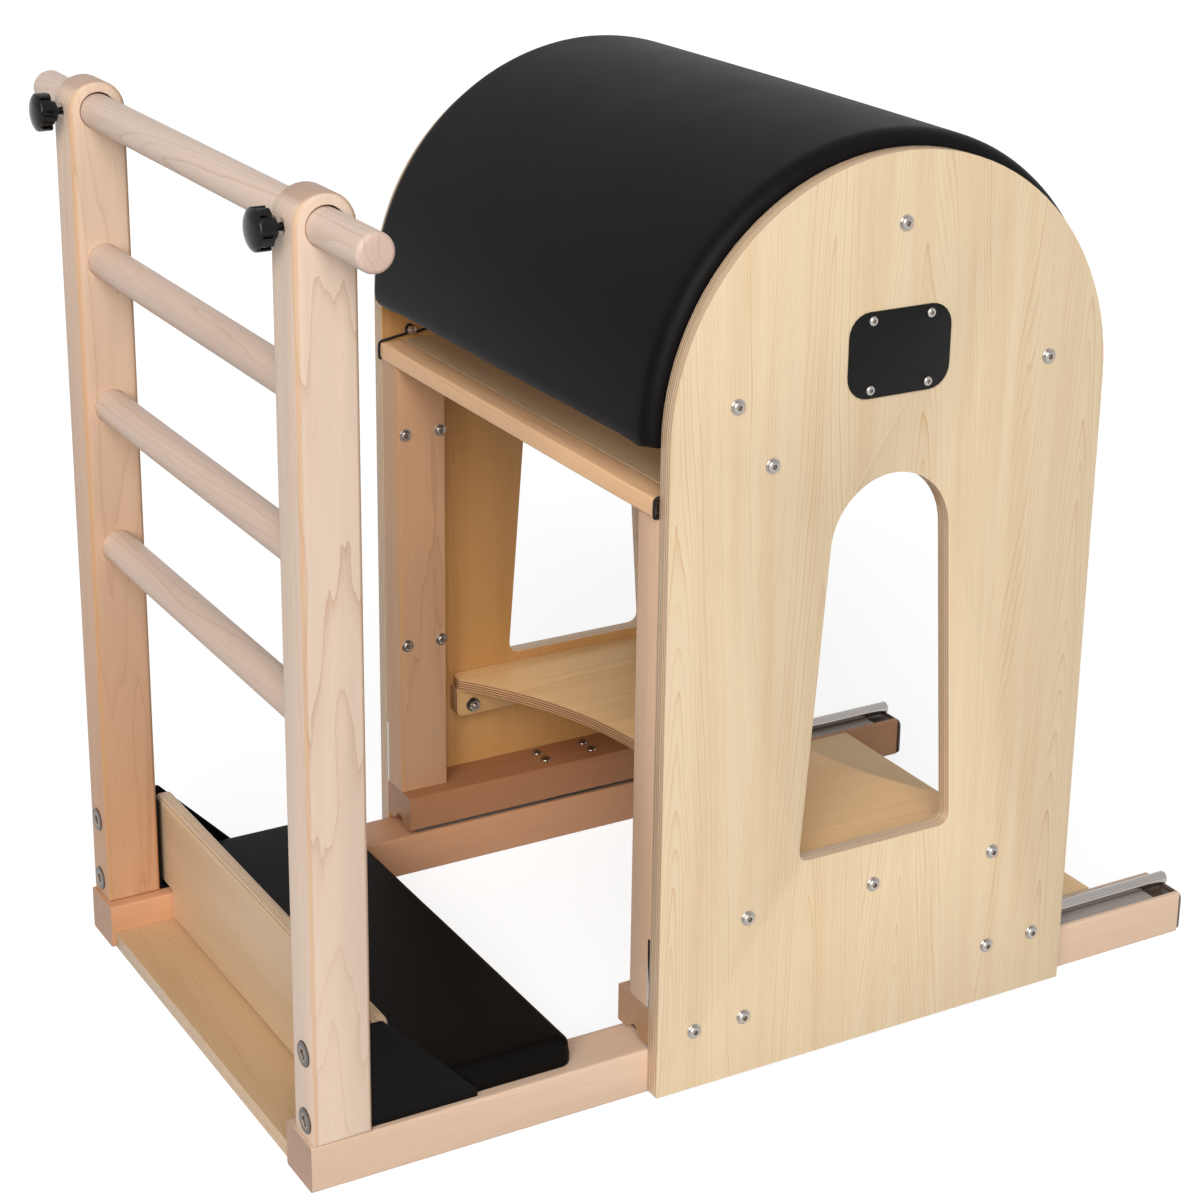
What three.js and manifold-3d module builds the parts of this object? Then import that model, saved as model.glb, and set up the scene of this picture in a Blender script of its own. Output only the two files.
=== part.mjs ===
// Pilates ladder barrel: a ladder frame on two base rails, and a padded barrel on a carriage that slides
// along two steel guide rods. Millimetres, +Z up. +X is the side with the badge plate, called right, and
// the ladder stands at the low end of Y. The origin is on the floor, under the middle of the whole object.
import * as THREE from "three";
import { mergeVertices } from "three/addons/utils/BufferGeometryUtils.js";
import Module from "manifold-3d";

const wasm = await Module();
wasm.setup();

// Gaps and counts that every sub-part shares
const fit = 0.3;
const overrun = 5;
const weld = 0.001;
const cornerSteps = 3;
const roundSteps = 32;
const smallRoundSteps = 16;
const archSteps = 48;

// Base rails: two long wooden bars on the floor
const railClearWidth = 508;
const railWidth = 62;
const railHeight = 52;
const railLength = 1129;
const railEdge = 3;
const recessLip = 6;
const recessDepth = 8;
const recessLead = 12;
const lockGrooveDepth = 10;
const railInnerX = railClearWidth / 2;
const railOuterX = railInnerX + railWidth;
const railMiddleX = railInnerX + railWidth / 2;
const recessFloor = railHeight - recessDepth;

// Steel on the rails: bearing plate, guide rod, end block and end plate
const plateThickness = 6;
const plateRearGap = 33;
const rodRadius = 8;
const rodLead = 104.7;
const endBlockLength = 29;
const endBlockHeight = 3.7;
const endPlateThickness = 3;
const endPlateOverlap = 3;
const endPlateBottom = 1;
const endPlateDrop = 2;
const endPlateCorner = 7;
const plateTop = recessFloor + fit + plateThickness;
const rodZ = plateTop + fit + rodRadius;

// Boards between the rails
const bottomBoardFront = 4;
const bottomBoardDepth = 96;
const bottomBoardThickness = 18;
const bottomBoardRaise = 1;
const rearPlankSetback = 87;
const rearPlankDepth = 90;
const rearPlankThickness = 22;
const rearPlankRear = railLength - rearPlankSetback;

// Ladder: two posts, three rungs and a sliding top pole
const postWidth = 52.8;
const postDepth = 63;
const postFront = 3.8;
const postOverhang = 2.7;
const ladderTop = 1018.5;
const postEdge = 5;
const rungRadius = 19;
const rungPitch = 164.7;
const rungCount = 3;
const rungSeat = 20;
const poleRadius = 19;
const poleOverhang = 105.3;
const poleEndRound = 5;
const poleHoleClearance = 1.2;
const postOuterX = railOuterX + postOverhang;
const postInnerX = postOuterX - postWidth;
const poleHalfLength = postOuterX + poleOverhang;
const postMiddleX = postOuterX - postWidth / 2;
const postMiddleY = postFront + postDepth / 2;
const postRear = postFront + postDepth;
const poleHoleRadius = poleRadius + poleHoleClearance;
const poleHoleZ = ladderTop - postDepth / 2;
const poleZ = poleHoleZ - poleHoleClearance + fit;

// Clamp knobs that hold the top pole
const knobRadius = 20.5;
const knobLobes = 8;
const knobFluteDepth = 3.4;
const knobRimDepth = 1.3;
const knobHeadLength = 12.8;
const knobDome = 6.2;
const knobRimLength = 1.2;
const knobHubRadius = 11.2;
const knobHubLength = 6.5;
const knobStandoff = 7.3;
const knobDrop = 1.9;
const studRadius = 4;
const insertRadius = 8;
const insertLength = 10;
const insertClearance = 0.3;
const knobZ = poleHoleZ - knobDrop;

// A lobe with half a flute on each side, turned from the X axis: shares of the pitch and the flute's depth.
// Then the dome: shares of the knob's radius and of its own height.
const phaseShare = 0.39;
const leadShares = [[-0.45, 1], [-0.36, 0.85], [-0.31, 0.1], [-0.2, 0], [0, 0]];
const trailShares = [[0.2, 0], [0.31, 0.1], [0.36, 0.85], [0.45, 1]];
const domeShares = [[0, 1], [0.28, 0.95], [0.55, 0.81], [0.8, 0.55], [0.96, 0.22], [1, 0]];

// Steel gussets behind the ladder posts
const gussetThickness = 4;
const gussetFlangeThickness = 3;
const gussetFlangeWidth = 39;
const gussetHeight = 116;
const gussetLength = 122;
const gussetTopLength = 17;
const gussetToeHeight = 9;
const gussetToeRadius = 12;
const gussetInset = 6.7;

// Kickboard and foot pad
const kickGap = 8.2;
const kickThickness = 20;
const kickSideGap = 5.3;
const kickTop = 165;
const kickCorner = 9;
const kickEdge = 5;
const padSideGap = 0.6;
const padFrontGap = 2;
const padDepth = 210;
const padHeight = 38;
const padCorner = 14;
const padRoll = 12;
const padCrown = 2.5;
const padWall = 3.5;
const padBoardThickness = 10;
const padRingSteps = 4;
const padTopRings = 6;
const gussetInnerX = railOuterX - gussetInset - gussetThickness;
const kickFront = postRear + kickGap;
const kickHalfWidth = gussetInnerX - kickSideGap;
const padHalfWidth = gussetInnerX - padSideGap;

// Side panels: arched plywood boards with a window each
const panelGap = 1;
const panelThickness = 19.5;
const panelFront = 388.7;
const panelDepth = 540.8;
const panelBottom = 3.5;
const panelTop = 1000;
const windowSill = 240;
const windowTop = 663;
const windowArchRadius = 75;
const windowFootHalf = 102;
const windowCorner = 12;
const panelInnerX = railOuterX + panelGap;
const panelOuterX = panelInnerX + panelThickness;
const panelFaceX = panelInnerX - fit;
const panelRear = panelFront + panelDepth;
const panelMiddleY = panelFront + panelDepth / 2;
const archRadius = panelDepth / 2;
const archZ = panelTop - archRadius;

// Badge plate on the right panel
const badgeWidth = 126.2;
const badgeHeight = 91;
const badgeThickness = 2;
const badgeCorner = 25;
const badgeRearShift = 1.5;
const badgeMiddleZ = 794;

// Carriage beams and their bearing blocks
const beamClearance = 6;
const beamHeight = 44;
const beamEdge = 2;
const grooveClearance = 2.5;
const grooveFlare = 6;
const grooveLipHeight = 5;
const bearingWidth = 44;
const bearingLength = 80;
const bearingHeight = 26;
const bearingDrop = 5;
const frontBearingAt = 236;
const rearBearingInset = 69.8;
const beamBottom = railHeight + beamClearance;
const beamTop = beamBottom + beamHeight;
const bearingBottom = beamBottom - bearingDrop;
const bearingPlaces = [panelFront + frontBearingAt, panelRear - rearBearingInset];
const rodStart = bearingPlaces[0] - bearingLength / 2 - rodLead;

// Barrel posts, release bar and fixed plank at the front of the barrel
const barrelPostWidth = 41;
const barrelPostDepth = 62.3;
const barrelPostDrop = 79.6;
const barrelPostEdge = 2.5;
const barHeight = 21;
const barDepth = 30;
const barProud = 2.7;
const barEndGap = 2;
const barEdge = 2.5;
const plankGap = 0.5;
const plankDepth = 60;
const guidePinRadius = 4;
const guidePinLength = 38;
const guidePinReach = 18;
const guidePinX = 150;
const runningGap = 0.3;
const barTravel = 10;
const barrelPostTop = archZ - barrelPostDrop;
const barBottom = barrelPostTop + fit;
const barTop = barBottom + barHeight;
const barFront = panelFront - barProud;
const plankFront = barFront + barDepth + plankGap;

// Latch: a lock pin at each side, lifted by a cord from the release bar
const latchInset = 16;
const latchSetback = 23.3;
const latchPinRadius = 5;
const latchPinLength = 119.5;
const latchTipGap = 0.5;
const latchLift = 2 * barTravel;
const latchCavityMargin = 5;
const cordBendRoom = 33;
const lockHoleClearance = 0.5;
const lockPitch = 48;
const lockCount = 5;
const guidePlateThickness = 4.3;
const guidePlateDepth = 49.3;
const guidePlateHeight = 80.7;
const lockHoleRadius = latchPinRadius + lockHoleClearance;
const latchX = panelInnerX - latchInset;
const latchY = panelFront + latchSetback;
const latchTip = railHeight + latchTipGap;
const recessStart = latchY - recessLead;
const guidePlateTop = beamTop + fit + guidePlateHeight;
const latchCavityTop = latchTip + latchPinLength + latchLift + cordBendRoom;

// Release cord and the stud that anchors it on the panel
const cordRadius = 1.65;
const cordSides = 8;
const cordBendSteps = 3;
const cordLoopSteps = 10;
const cordPanelGap = 0.5;
const cordTail = 25;
const cordGrooveWidth = 10;
const cordGrooveSetback = 13.3;
const anchorSetback = 34.4;
const anchorRise = 12.5;
const anchorStudRadius = 3;
const nutAcrossFlats = 10;
const nutSides = 6;
const nutThickness = 5;
const studTail = 1.2;
const anchorY = panelFront + anchorSetback;
const anchorZ = barTop + anchorRise;
const cordX = panelInnerX - cordPanelGap - cordRadius;
const cordNotch = 2 * (cordRadius + fit);
const loopPitch = 2 * cordRadius + fit;

// The cord's route below the bar, in cord radii off the top of the groove's middle. Then shares of the way
// down the groove, and from its foot to the pin's top.
const grooveShares = [[-2.2, 1.18], [-0.1, -1.3], [0, -7.3]];
const dropShares = [0.21, 0.4, 0.59, 0.78, 0.94];
const pinShares = [[0, 0, 0], [0.28, 0.37, 0.43], [0.68, 0.8, 0.66], [1, 1, 0.85], [1, 1, 1]];
const cordGrooveX = cordX - cordRadius - fit;

// Barrel: plywood ribs and bent skin under a padded cushion
const cushionProud = 18.1;
const cushionCrown = 1.5;
const cushionThickness = 35;
const cushionRoll = 20;
const cushionRollLength = 16;
const cushionRollSteps = 5;
const cushionDrop = 6.4;
const cushionCrownSteps = 6;
const skinThickness = 6;
const ribThickness = 18;
const ribDepth = 90;
const crossRailSetback = 120;
const crossRailDrop = 35.6;
const crossRailWidth = 38;
const crossRailY = panelFront + crossRailSetback;
const crossRailZ = archZ - crossRailDrop;
const cushionRadius = archRadius + cushionProud;
const cushionInnerRadius = cushionRadius + cushionCrown - cushionThickness;
const skinRadius = cushionInnerRadius - fit;
const ribRadius = skinRadius - skinThickness - fit;

// Shelf low in the barrel and the cleats that carry it
const shelfTop = 229;
const shelfThickness = 14;
const shelfPostGap = 26.1;
const shelfWaistHalf = 79;
const shelfHornWidth = 21.3;
const shelfCorner = 12;
const shelfArcSteps = 24;
const cleatThickness = 19.7;
const cleatHeight = 37.7;
const cleatCorner = 8;
const cleatOverhang = 1;
const shelfHalfDepth = panelDepth / 2 - barrelPostDepth - shelfPostGap;

// Colours, roughness and metalness of the materials
const FINISH = {
  beech: [0xe2c4a6, 0.55, 0],
  plywood: [0xe6cfa6, 0.5, 0],
  vinyl: [0x1c1b1c, 0.45, 0],
  blackSteel: [0x161617, 0.5, 0.6],
  blackPlastic: [0x121212, 0.35, 0],
  greySteel: [0x9a9692, 0.45, 0.8],
  brightSteel: [0xc9c9c9, 0.25, 1],
  cord: [0x18181a, 0.8, 0],
  darkWood: [0x4a3a30, 0.7, 0],
};

// A closed three.js mesh as a solid that can be joined and cut
function solidOf(geometry) {
  const bare = geometry.clone();
  bare.deleteAttribute("normal");
  bare.deleteAttribute("uv");
  const merged = mergeVertices(bare, weld);
  return new wasm.Manifold(
    new wasm.Mesh({
      numProp: 3,
      vertProperties: merged.attributes.position.array,
      triVerts: new Uint32Array(merged.index.array),
    }),
  );
}

function geometryOf(solid) {
  const mesh = solid.getMesh();
  const geometry = new THREE.BufferGeometry();
  geometry.setAttribute("position", new THREE.BufferAttribute(mesh.vertProperties, 3));
  geometry.setIndex(new THREE.BufferAttribute(mesh.triVerts, 1));
  geometry.computeVertexNormals();
  return geometry;
}

function join(...geometries) {
  return geometryOf(geometries.map(solidOf).reduce((all, next) => all.add(next)));
}

function cut(geometry, ...tools) {
  return geometryOf(tools.map(solidOf).reduce((left, tool) => left.subtract(tool), solidOf(geometry)));
}

function common(geometry, limit) {
  return geometryOf(solidOf(geometry).intersect(solidOf(limit)));
}

function mesh(name, geometry, finish) {
  const [color, roughness, metalness] = FINISH[finish];
  const made = new THREE.Mesh(geometry, new THREE.MeshStandardMaterial({ color, roughness, metalness }));
  made.name = name;
  return made;
}

// A box between two corners
function box([x0, y0, z0], [x1, y1, z1]) {
  const geometry = new THREE.BoxGeometry(x1 - x0, y1 - y0, z1 - z0);
  return geometry.translate((x0 + x1) / 2, (y0 + y1) / 2, (z0 + z1) / 2);
}

// A round bar along one axis, from one place on it to another, centred on the two other coordinates
function roundBar(axis, radius, from, to, [a, b], steps = roundSteps) {
  const geometry = new THREE.CylinderGeometry(radius, radius, to - from, steps);
  const middle = (from + to) / 2;
  if (axis === "x") return geometry.rotateZ(-Math.PI / 2).translate(middle, a, b);
  if (axis === "y") return geometry.translate(a, middle, b);
  return geometry.rotateX(Math.PI / 2).translate(a, b, middle);
}

// Points on an arc about (u, v), from one angle to another
function arc(u, v, radius, from, to, steps) {
  return Array.from({ length: steps + 1 }, (_, i) => {
    const angle = from + ((to - from) * i) / steps;
    return [u + radius * Math.cos(angle), v + radius * Math.sin(angle)];
  });
}

// Outline points of a polygon whose corners [u, v, radius] are each rounded to their own radius
function rounded(corners, steps = cornerSteps) {
  return corners.flatMap(([u, v, radius], i) => {
    if (!radius) return [[u, v]];
    const here = new THREE.Vector2(u, v);
    const toLast = new THREE.Vector2(...corners.at(i - 1)).sub(here).normalize();
    const toNext = new THREE.Vector2(...corners[(i + 1) % corners.length]).sub(here).normalize();
    const half = Math.acos(toLast.dot(toNext)) / 2;
    const middle = toLast.clone().add(toNext).normalize();
    const centre = here.clone().addScaledVector(middle, radius / Math.sin(half));
    const away = Math.atan2(-middle.y, -middle.x);
    const sweep = (Math.PI / 2 - half) * Math.sign(toLast.cross(toNext)) * -1;
    return arc(centre.x, centre.y, radius, away - sweep, away + sweep, steps);
  });
}

function rectangle(u0, v0, u1, v1, radius = 0) {
  return [
    [u0, v0, radius],
    [u1, v0, radius],
    [u1, v1, radius],
    [u0, v1, radius],
  ];
}

// A flat piece of one thickness, its edges eased by bevel, standing on the plane of its outline
function extruded(points, thickness, bevel = 0, holes = []) {
  const vectors = (list) => list.map(([u, v]) => new THREE.Vector2(u, v));
  const shape = new THREE.Shape(vectors(points));
  shape.holes = holes.map((hole) => new THREE.Path(vectors(hole)));
  const geometry = new THREE.ExtrudeGeometry(shape, {
    depth: thickness - 2 * bevel,
    bevelEnabled: bevel > 0,
    bevelThickness: bevel,
    bevelSize: bevel,
    bevelOffset: -bevel,
    bevelSegments: cornerSteps,
  });
  return geometry.translate(0, 0, bevel);
}

// The same piece with its outline in (y, z) and its thickness along X, and so on for the other two
function alongX(points, x0, x1, bevel, holes) {
  const basis = new THREE.Matrix4().makeBasis(
    new THREE.Vector3(0, 1, 0),
    new THREE.Vector3(0, 0, 1),
    new THREE.Vector3(1, 0, 0),
  );
  return extruded(points, x1 - x0, bevel, holes).applyMatrix4(basis).translate(x0, 0, 0);
}

function alongY(points, y0, y1, bevel, holes) {
  const geometry = extruded(points, y1 - y0, bevel, holes);
  return geometry.rotateX(Math.PI / 2).translate(0, y1, 0);
}

function alongZ(points, z0, z1, bevel, holes) {
  return extruded(points, z1 - z0, bevel, holes).translate(0, 0, z0);
}

// A turned piece whose profile [radius, place] turns about an axis along X or Y
function turned(axis, profile, steps = roundSteps) {
  const points = profile.map(([radius, place]) => new THREE.Vector2(radius, place));
  const geometry = new THREE.LatheGeometry(points, steps);
  return axis === "x" ? geometry.rotateZ(-Math.PI / 2) : geometry;
}

// Base rail, with the recess for the bearing plate and the groove under its lock holes
function railGeometry() {
  const section = rounded(rectangle(railInnerX, 0, railOuterX, railHeight, railEdge));
  const recess = box(
    [railInnerX + recessLip, recessStart, recessFloor],
    [railOuterX - recessLip, railLength + overrun, railHeight + overrun],
  );
  const lockGroove = box(
    [latchX - lockHoleRadius, latchY - lockHoleRadius, recessFloor - lockGrooveDepth],
    [latchX + lockHoleRadius, latchY + lockHoleRadius + lockPitch * (lockCount - 1), railHeight],
  );
  return cut(alongY(section, 0, railLength), recess, lockGroove);
}

// Flat steel under the guide rod, with the row of lock holes that the latch pins drop into
function bearingPlateGeometry() {
  const side = recessLip + fit;
  const outline = rectangle(
    railInnerX + side,
    recessStart + fit,
    railOuterX - side,
    railLength - plateRearGap,
  );
  const holes = Array.from({ length: lockCount }, (_, i) =>
    arc(latchX, latchY + i * lockPitch, lockHoleRadius, 0, 2 * Math.PI, smallRoundSteps).slice(1),
  );
  return alongZ(outline, recessFloor + fit, plateTop, 0, holes);
}

function endBlockGeometry() {
  const side = recessLip + fit;
  return box(
    [railInnerX + side, railLength - endBlockLength, recessFloor + fit],
    [railOuterX - side, railLength, recessFloor + fit + endBlockHeight],
  );
}

function endPlateGeometry() {
  const innerX = railInnerX - endPlateOverlap;
  const top = railHeight - endPlateDrop;
  const outline = rounded(rectangle(innerX, endPlateBottom, railOuterX, top, endPlateCorner));
  return alongY(outline, railLength + fit, railLength + fit + endPlateThickness);
}

// Ladder post: round head, eased edges, a hole for the pole, blind seats for the rungs and the insert's bore
function ladderPostGeometry() {
  const radius = postDepth / 2;
  const foot = railHeight + fit;
  const outline = [
    [postFront, foot],
    [postRear, foot],
    ...arc(postMiddleY, ladderTop - radius, radius, 0, Math.PI, roundSteps / 2),
  ];
  const poleHole = roundBar(
    "x",
    poleHoleRadius,
    postInnerX - overrun,
    postOuterX + overrun,
    [postMiddleY, poleHoleZ],
  );
  const seats = rungHeights().map((z) =>
    roundBar("x", rungRadius + fit, postInnerX - overrun, postInnerX + rungSeat + fit, [postMiddleY, z]),
  );
  const insertBore = roundBar(
    "y",
    insertRadius + insertClearance,
    postFront - overrun,
    postFront + insertLength + insertClearance,
    [postMiddleX, knobZ],
    smallRoundSteps,
  );
  const studBore = roundBar(
    "y",
    studRadius + insertClearance,
    postFront,
    postMiddleY,
    [postMiddleX, knobZ],
    smallRoundSteps,
  );
  return cut(alongX(outline, postInnerX, postOuterX, postEdge), poleHole, ...seats, insertBore, studBore);
}

function rungHeights() {
  return Array.from({ length: rungCount }, (_, i) => poleHoleZ - (i + 1) * rungPitch);
}

function rungGeometry(z) {
  const reach = postInnerX + rungSeat;
  return roundBar("x", rungRadius, -reach, reach, [postMiddleY, z]);
}

// Top pole: a round wooden bar with rounded ends
function poleGeometry() {
  const end = (side) => {
    const at = side * (poleHalfLength - poleEndRound);
    const corner = arc(poleRadius - poleEndRound, 0, poleEndRound, 0, Math.PI / 2, cornerSteps);
    const points = corner.map(([radius, along]) => [radius, at + side * along]);
    return side < 0 ? points.reverse() : points;
  };
  const profile = [[0, -poleHalfLength], ...end(-1), ...end(1), [0, poleHalfLength]];
  return turned("x", profile).translate(0, postMiddleY, poleZ);
}

// Clamp knob: a fluted head under a scalloped dome, a round hub, and a stud that reaches the pole
function knobGeometry() {
  const lobed = (depth) =>
    Array.from({ length: knobLobes }, (_, i) =>
      [...leadShares, ...trailShares].map(([turn, sunk]) => {
        const angle = (2 * Math.PI * (i + turn + phaseShare)) / knobLobes;
        const radius = knobRadius - depth * sunk;
        return [postMiddleX + radius * Math.cos(angle), knobZ + radius * Math.sin(angle)];
      }),
    ).flat();
  const hubEnd = postFront - knobStandoff;
  const headEnd = hubEnd - knobHubLength;
  const domeStart = headEnd - knobHeadLength;
  const profile = domeShares.map(([out, up]) => [knobRadius * out, -knobDome * up]);
  const dome = turned("y", [...profile, [knobRadius, knobRimLength], [0, knobRimLength]]);
  const rim = alongY(lobed(knobRimDepth), domeStart - knobDome - overrun, domeStart + knobRimLength);
  const centre = [postMiddleX, knobZ];
  return join(
    alongY(lobed(knobFluteDepth), domeStart, headEnd),
    common(dome.translate(postMiddleX, domeStart, knobZ), rim),
    roundBar("y", knobHubRadius, headEnd - knobRimLength, hubEnd, centre),
    roundBar("y", studRadius, headEnd, postMiddleY - poleRadius - fit, centre, smallRoundSteps),
  );
}

// Threaded insert in the post's front, plain inside so that the stud turns free in it
function insertGeometry() {
  const inner = studRadius + insertClearance;
  const ring = turned("y", [
    [inner, 0],
    [insertRadius, 0],
    [insertRadius, insertLength],
    [inner, insertLength],
    [inner, 0],
  ], smallRoundSteps);
  return ring.translate(postMiddleX, postFront, knobZ);
}

// Gusset: a bent steel bracket with a triangular side, a flange up the post and one along the rail
function gussetGeometry() {
  const front = postRear + fit;
  const bottom = railHeight + fit;
  const outer = railOuterX - gussetInset;
  const inner = outer - gussetFlangeWidth;
  const outline = rounded([
    [front, bottom],
    [front + gussetLength, bottom],
    [front + gussetLength, bottom + gussetToeHeight, gussetToeRadius / 2],
    [front + gussetLength - gussetToeHeight, bottom + 2 * gussetToeHeight, gussetToeRadius],
    [front + gussetTopLength, bottom + gussetHeight, gussetThickness],
    [front, bottom + gussetHeight],
  ]);
  const side = alongX(outline, outer - gussetThickness, outer);
  const upright = box([inner, front, bottom], [outer, front + gussetFlangeThickness, bottom + gussetHeight]);
  return join(side, upright, gussetFoot(1, 0));
}

// The flange along the rail on one side, or with a margin the rebate that it lies in
function gussetFoot(side, margin) {
  const front = postRear + fit;
  const bottom = railHeight + fit;
  const outer = side * (railOuterX - gussetInset + margin);
  const inner = side * (railOuterX - gussetInset - gussetFlangeWidth - margin);
  return box(
    [Math.min(inner, outer), front, bottom - (margin && overrun)],
    [Math.max(inner, outer), front + gussetLength + margin, bottom + gussetFlangeThickness + margin],
  );
}

// Kickboard across the rails, its middle reaching down to the bottom board
function kickboardGeometry() {
  const shoulder = railHeight + fit + gussetFlangeThickness + fit;
  const boardTop = bottomBoardRaise + bottomBoardThickness + fit;
  const inner = railInnerX - fit;
  const outline = rounded([
    [-inner, boardTop],
    [inner, boardTop],
    [inner, shoulder],
    [kickHalfWidth, shoulder],
    [kickHalfWidth, kickTop, kickCorner],
    [-kickHalfWidth, kickTop, kickCorner],
    [-kickHalfWidth, shoulder],
    [-inner, shoulder],
  ]);
  return alongY(outline, kickFront, kickFront + kickThickness, kickEdge);
}

// Foot pad: rings of one rounded outline, drawn in at the foot, rolled over at the edge and crowned on top
function footPadGeometry() {
  const half = [padHalfWidth, padDepth / 2];
  const roll = arc(0, 0, padRoll, 0, Math.PI / 2, padRingSteps);
  const crown = Array.from({ length: padTopRings }, (_, i) => {
    const share = (i + 1) / padTopRings;
    const inset = padRoll + (half[1] - padRoll - padCorner / 2) * share;
    return [inset, padHeight - padCrown * (1 - share) ** 2];
  });
  const levels = [
    [padRoll / 4, 0],
    [0, padRoll],
    ...roll.map(([across, up]) => [padRoll - across, padHeight - padCrown - padRoll + up]),
    ...crown,
  ];
  const rings = levels.map(([inset, z]) => {
    const [a, b] = [half[0] - inset, half[1] - inset];
    const corner = Math.max(padCorner - inset, padCorner / 4);
    return rounded(rectangle(-a, -b, a, b, corner)).map(([u, v]) => [u, v, z]);
  });
  return lofted(rings).translate(0, padFront() + padDepth / 2, railHeight + fit);
}

// A closed surface through rings that have the same number of points, with flat ends
function lofted(rings) {
  const count = rings[0].length;
  const positions = rings.flat(2);
  const index = [];
  for (let ring = 0; ring < rings.length - 1; ring++) {
    for (let i = 0; i < count; i++) {
      const here = ring * count + i;
      const next = ring * count + ((i + 1) % count);
      index.push(here, next, next + count, here, next + count, here + count);
    }
  }
  const last = (rings.length - 1) * count;
  const cap = THREE.ShapeUtils.triangulateShape(rings[0].map(([u, v]) => new THREE.Vector2(u, v)), []);
  const lid = THREE.ShapeUtils.triangulateShape(rings.at(-1).map(([u, v]) => new THREE.Vector2(u, v)), []);
  cap.forEach(([a, b, c]) => index.push(a, c, b));
  lid.forEach(([a, b, c]) => index.push(last + a, last + b, last + c));
  const geometry = new THREE.BufferGeometry();
  geometry.setAttribute("position", new THREE.Float32BufferAttribute(positions, 3));
  return geometry.setIndex(index);
}

function padFront() {
  return kickFront + kickThickness + padFrontGap;
}

// The board inside the pad, or with a margin the pocket that holds it
function padBoard(margin) {
  const half = padHalfWidth - padWall - padRoll / 4 + margin;
  const front = padFront() + padWall + padRoll / 4 - margin;
  const rear = padFront() + padDepth - padWall - padRoll / 4 + margin;
  const bottom = railHeight + fit;
  return box([-half, front, bottom - (margin && overrun)], [half, rear, bottom + padBoardThickness + margin]);
}

// Side panel: a board with a round top and a tall window that narrows towards its own arch
function sidePanelGeometry() {
  const outline = [
    [panelFront, panelBottom],
    [panelRear, panelBottom],
    ...arc(panelMiddleY, archZ, archRadius, 0, Math.PI, archSteps),
  ];
  const archCentre = windowTop - windowArchRadius;
  const toFoot = Math.hypot(windowFootHalf, archCentre - windowSill);
  const toFootAngle = Math.atan2(windowSill - archCentre, windowFootHalf);
  const tangent = toFootAngle + Math.acos(windowArchRadius / toFoot);
  const foot = rounded([
    [panelMiddleY, windowTop],
    [panelMiddleY - windowFootHalf, windowSill, windowCorner],
    [panelMiddleY + windowFootHalf, windowSill, windowCorner],
  ]).slice(1);
  const arch = arc(panelMiddleY, archCentre, windowArchRadius, tangent, Math.PI - tangent, roundSteps);
  return alongX(outline, panelInnerX, panelOuterX, 0, [[...foot, ...arch]]);
}

function badgeGeometry() {
  const middle = panelMiddleY - badgeRearShift;
  const outline = rectangle(
    middle - badgeWidth / 2,
    badgeMiddleZ - badgeHeight / 2,
    middle + badgeWidth / 2,
    badgeMiddleZ + badgeHeight / 2,
    badgeCorner,
  );
  return alongX(rounded(outline, cornerSteps * 2), panelOuterX + fit, panelOuterX + fit + badgeThickness);
}

// Carriage beam: a bar along the rail, grooved over the guide rod, with pockets for the bearing blocks
function beamGeometry() {
  const radius = rodRadius + grooveClearance;
  const lip = Math.asin((beamBottom + grooveLipHeight - rodZ) / radius);
  const mouth = radius + grooveFlare;
  const flare = (side) => {
    const curve = new THREE.QuadraticBezierCurve(
      new THREE.Vector2(railMiddleX + side * mouth, beamBottom),
      new THREE.Vector2(railMiddleX + side * radius, beamBottom),
      new THREE.Vector2(railMiddleX + side * radius * Math.cos(lip), beamBottom + grooveLipHeight),
    );
    return curve.getPoints(cornerSteps).map(({ x, y }) => [x, y]);
  };
  const groove = [
    ...flare(-1),
    ...arc(railMiddleX, rodZ, radius, Math.PI - lip, lip, smallRoundSteps / 2).slice(1, -1),
    ...flare(1).reverse(),
  ];
  const corners = rounded(rectangle(railInnerX, beamBottom, panelFaceX, beamTop, beamEdge));
  const lowLeft = corners.slice(0, cornerSteps + 1);
  const others = corners.slice(cornerSteps + 1);
  const body = alongY([...lowLeft, ...groove, ...others], panelFront, panelRear);
  const pockets = bearingPlaces.map((y) => bearingBlock(y, fit));
  const pinBore = roundBar(
    "z",
    latchPinRadius + runningGap,
    beamBottom - overrun,
    beamTop + overrun,
    [latchX, latchY],
    smallRoundSteps,
  );
  return cut(body, ...pockets, pinBore);
}

// The outer form of a bearing block, or with a margin the pocket that holds it
function bearingBlock(y, margin) {
  const [across, along] = [bearingWidth / 2 + margin, bearingLength / 2 + margin];
  return box(
    [railMiddleX - across, y - along, bearingBottom - (margin && overrun)],
    [railMiddleX + across, y + along, bearingBottom + bearingHeight + margin],
  );
}

// Bearing block: a saddle bored for the guide rod and open below, where the bearing plate holds the rod
function bearingBlockGeometry(y) {
  const bore = roundBar(
    "y",
    rodRadius + runningGap,
    y - bearingLength / 2 - overrun,
    y + bearingLength / 2 + overrun,
    [railMiddleX, rodZ],
  );
  return cut(bearingBlock(y, 0), bore);
}

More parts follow.
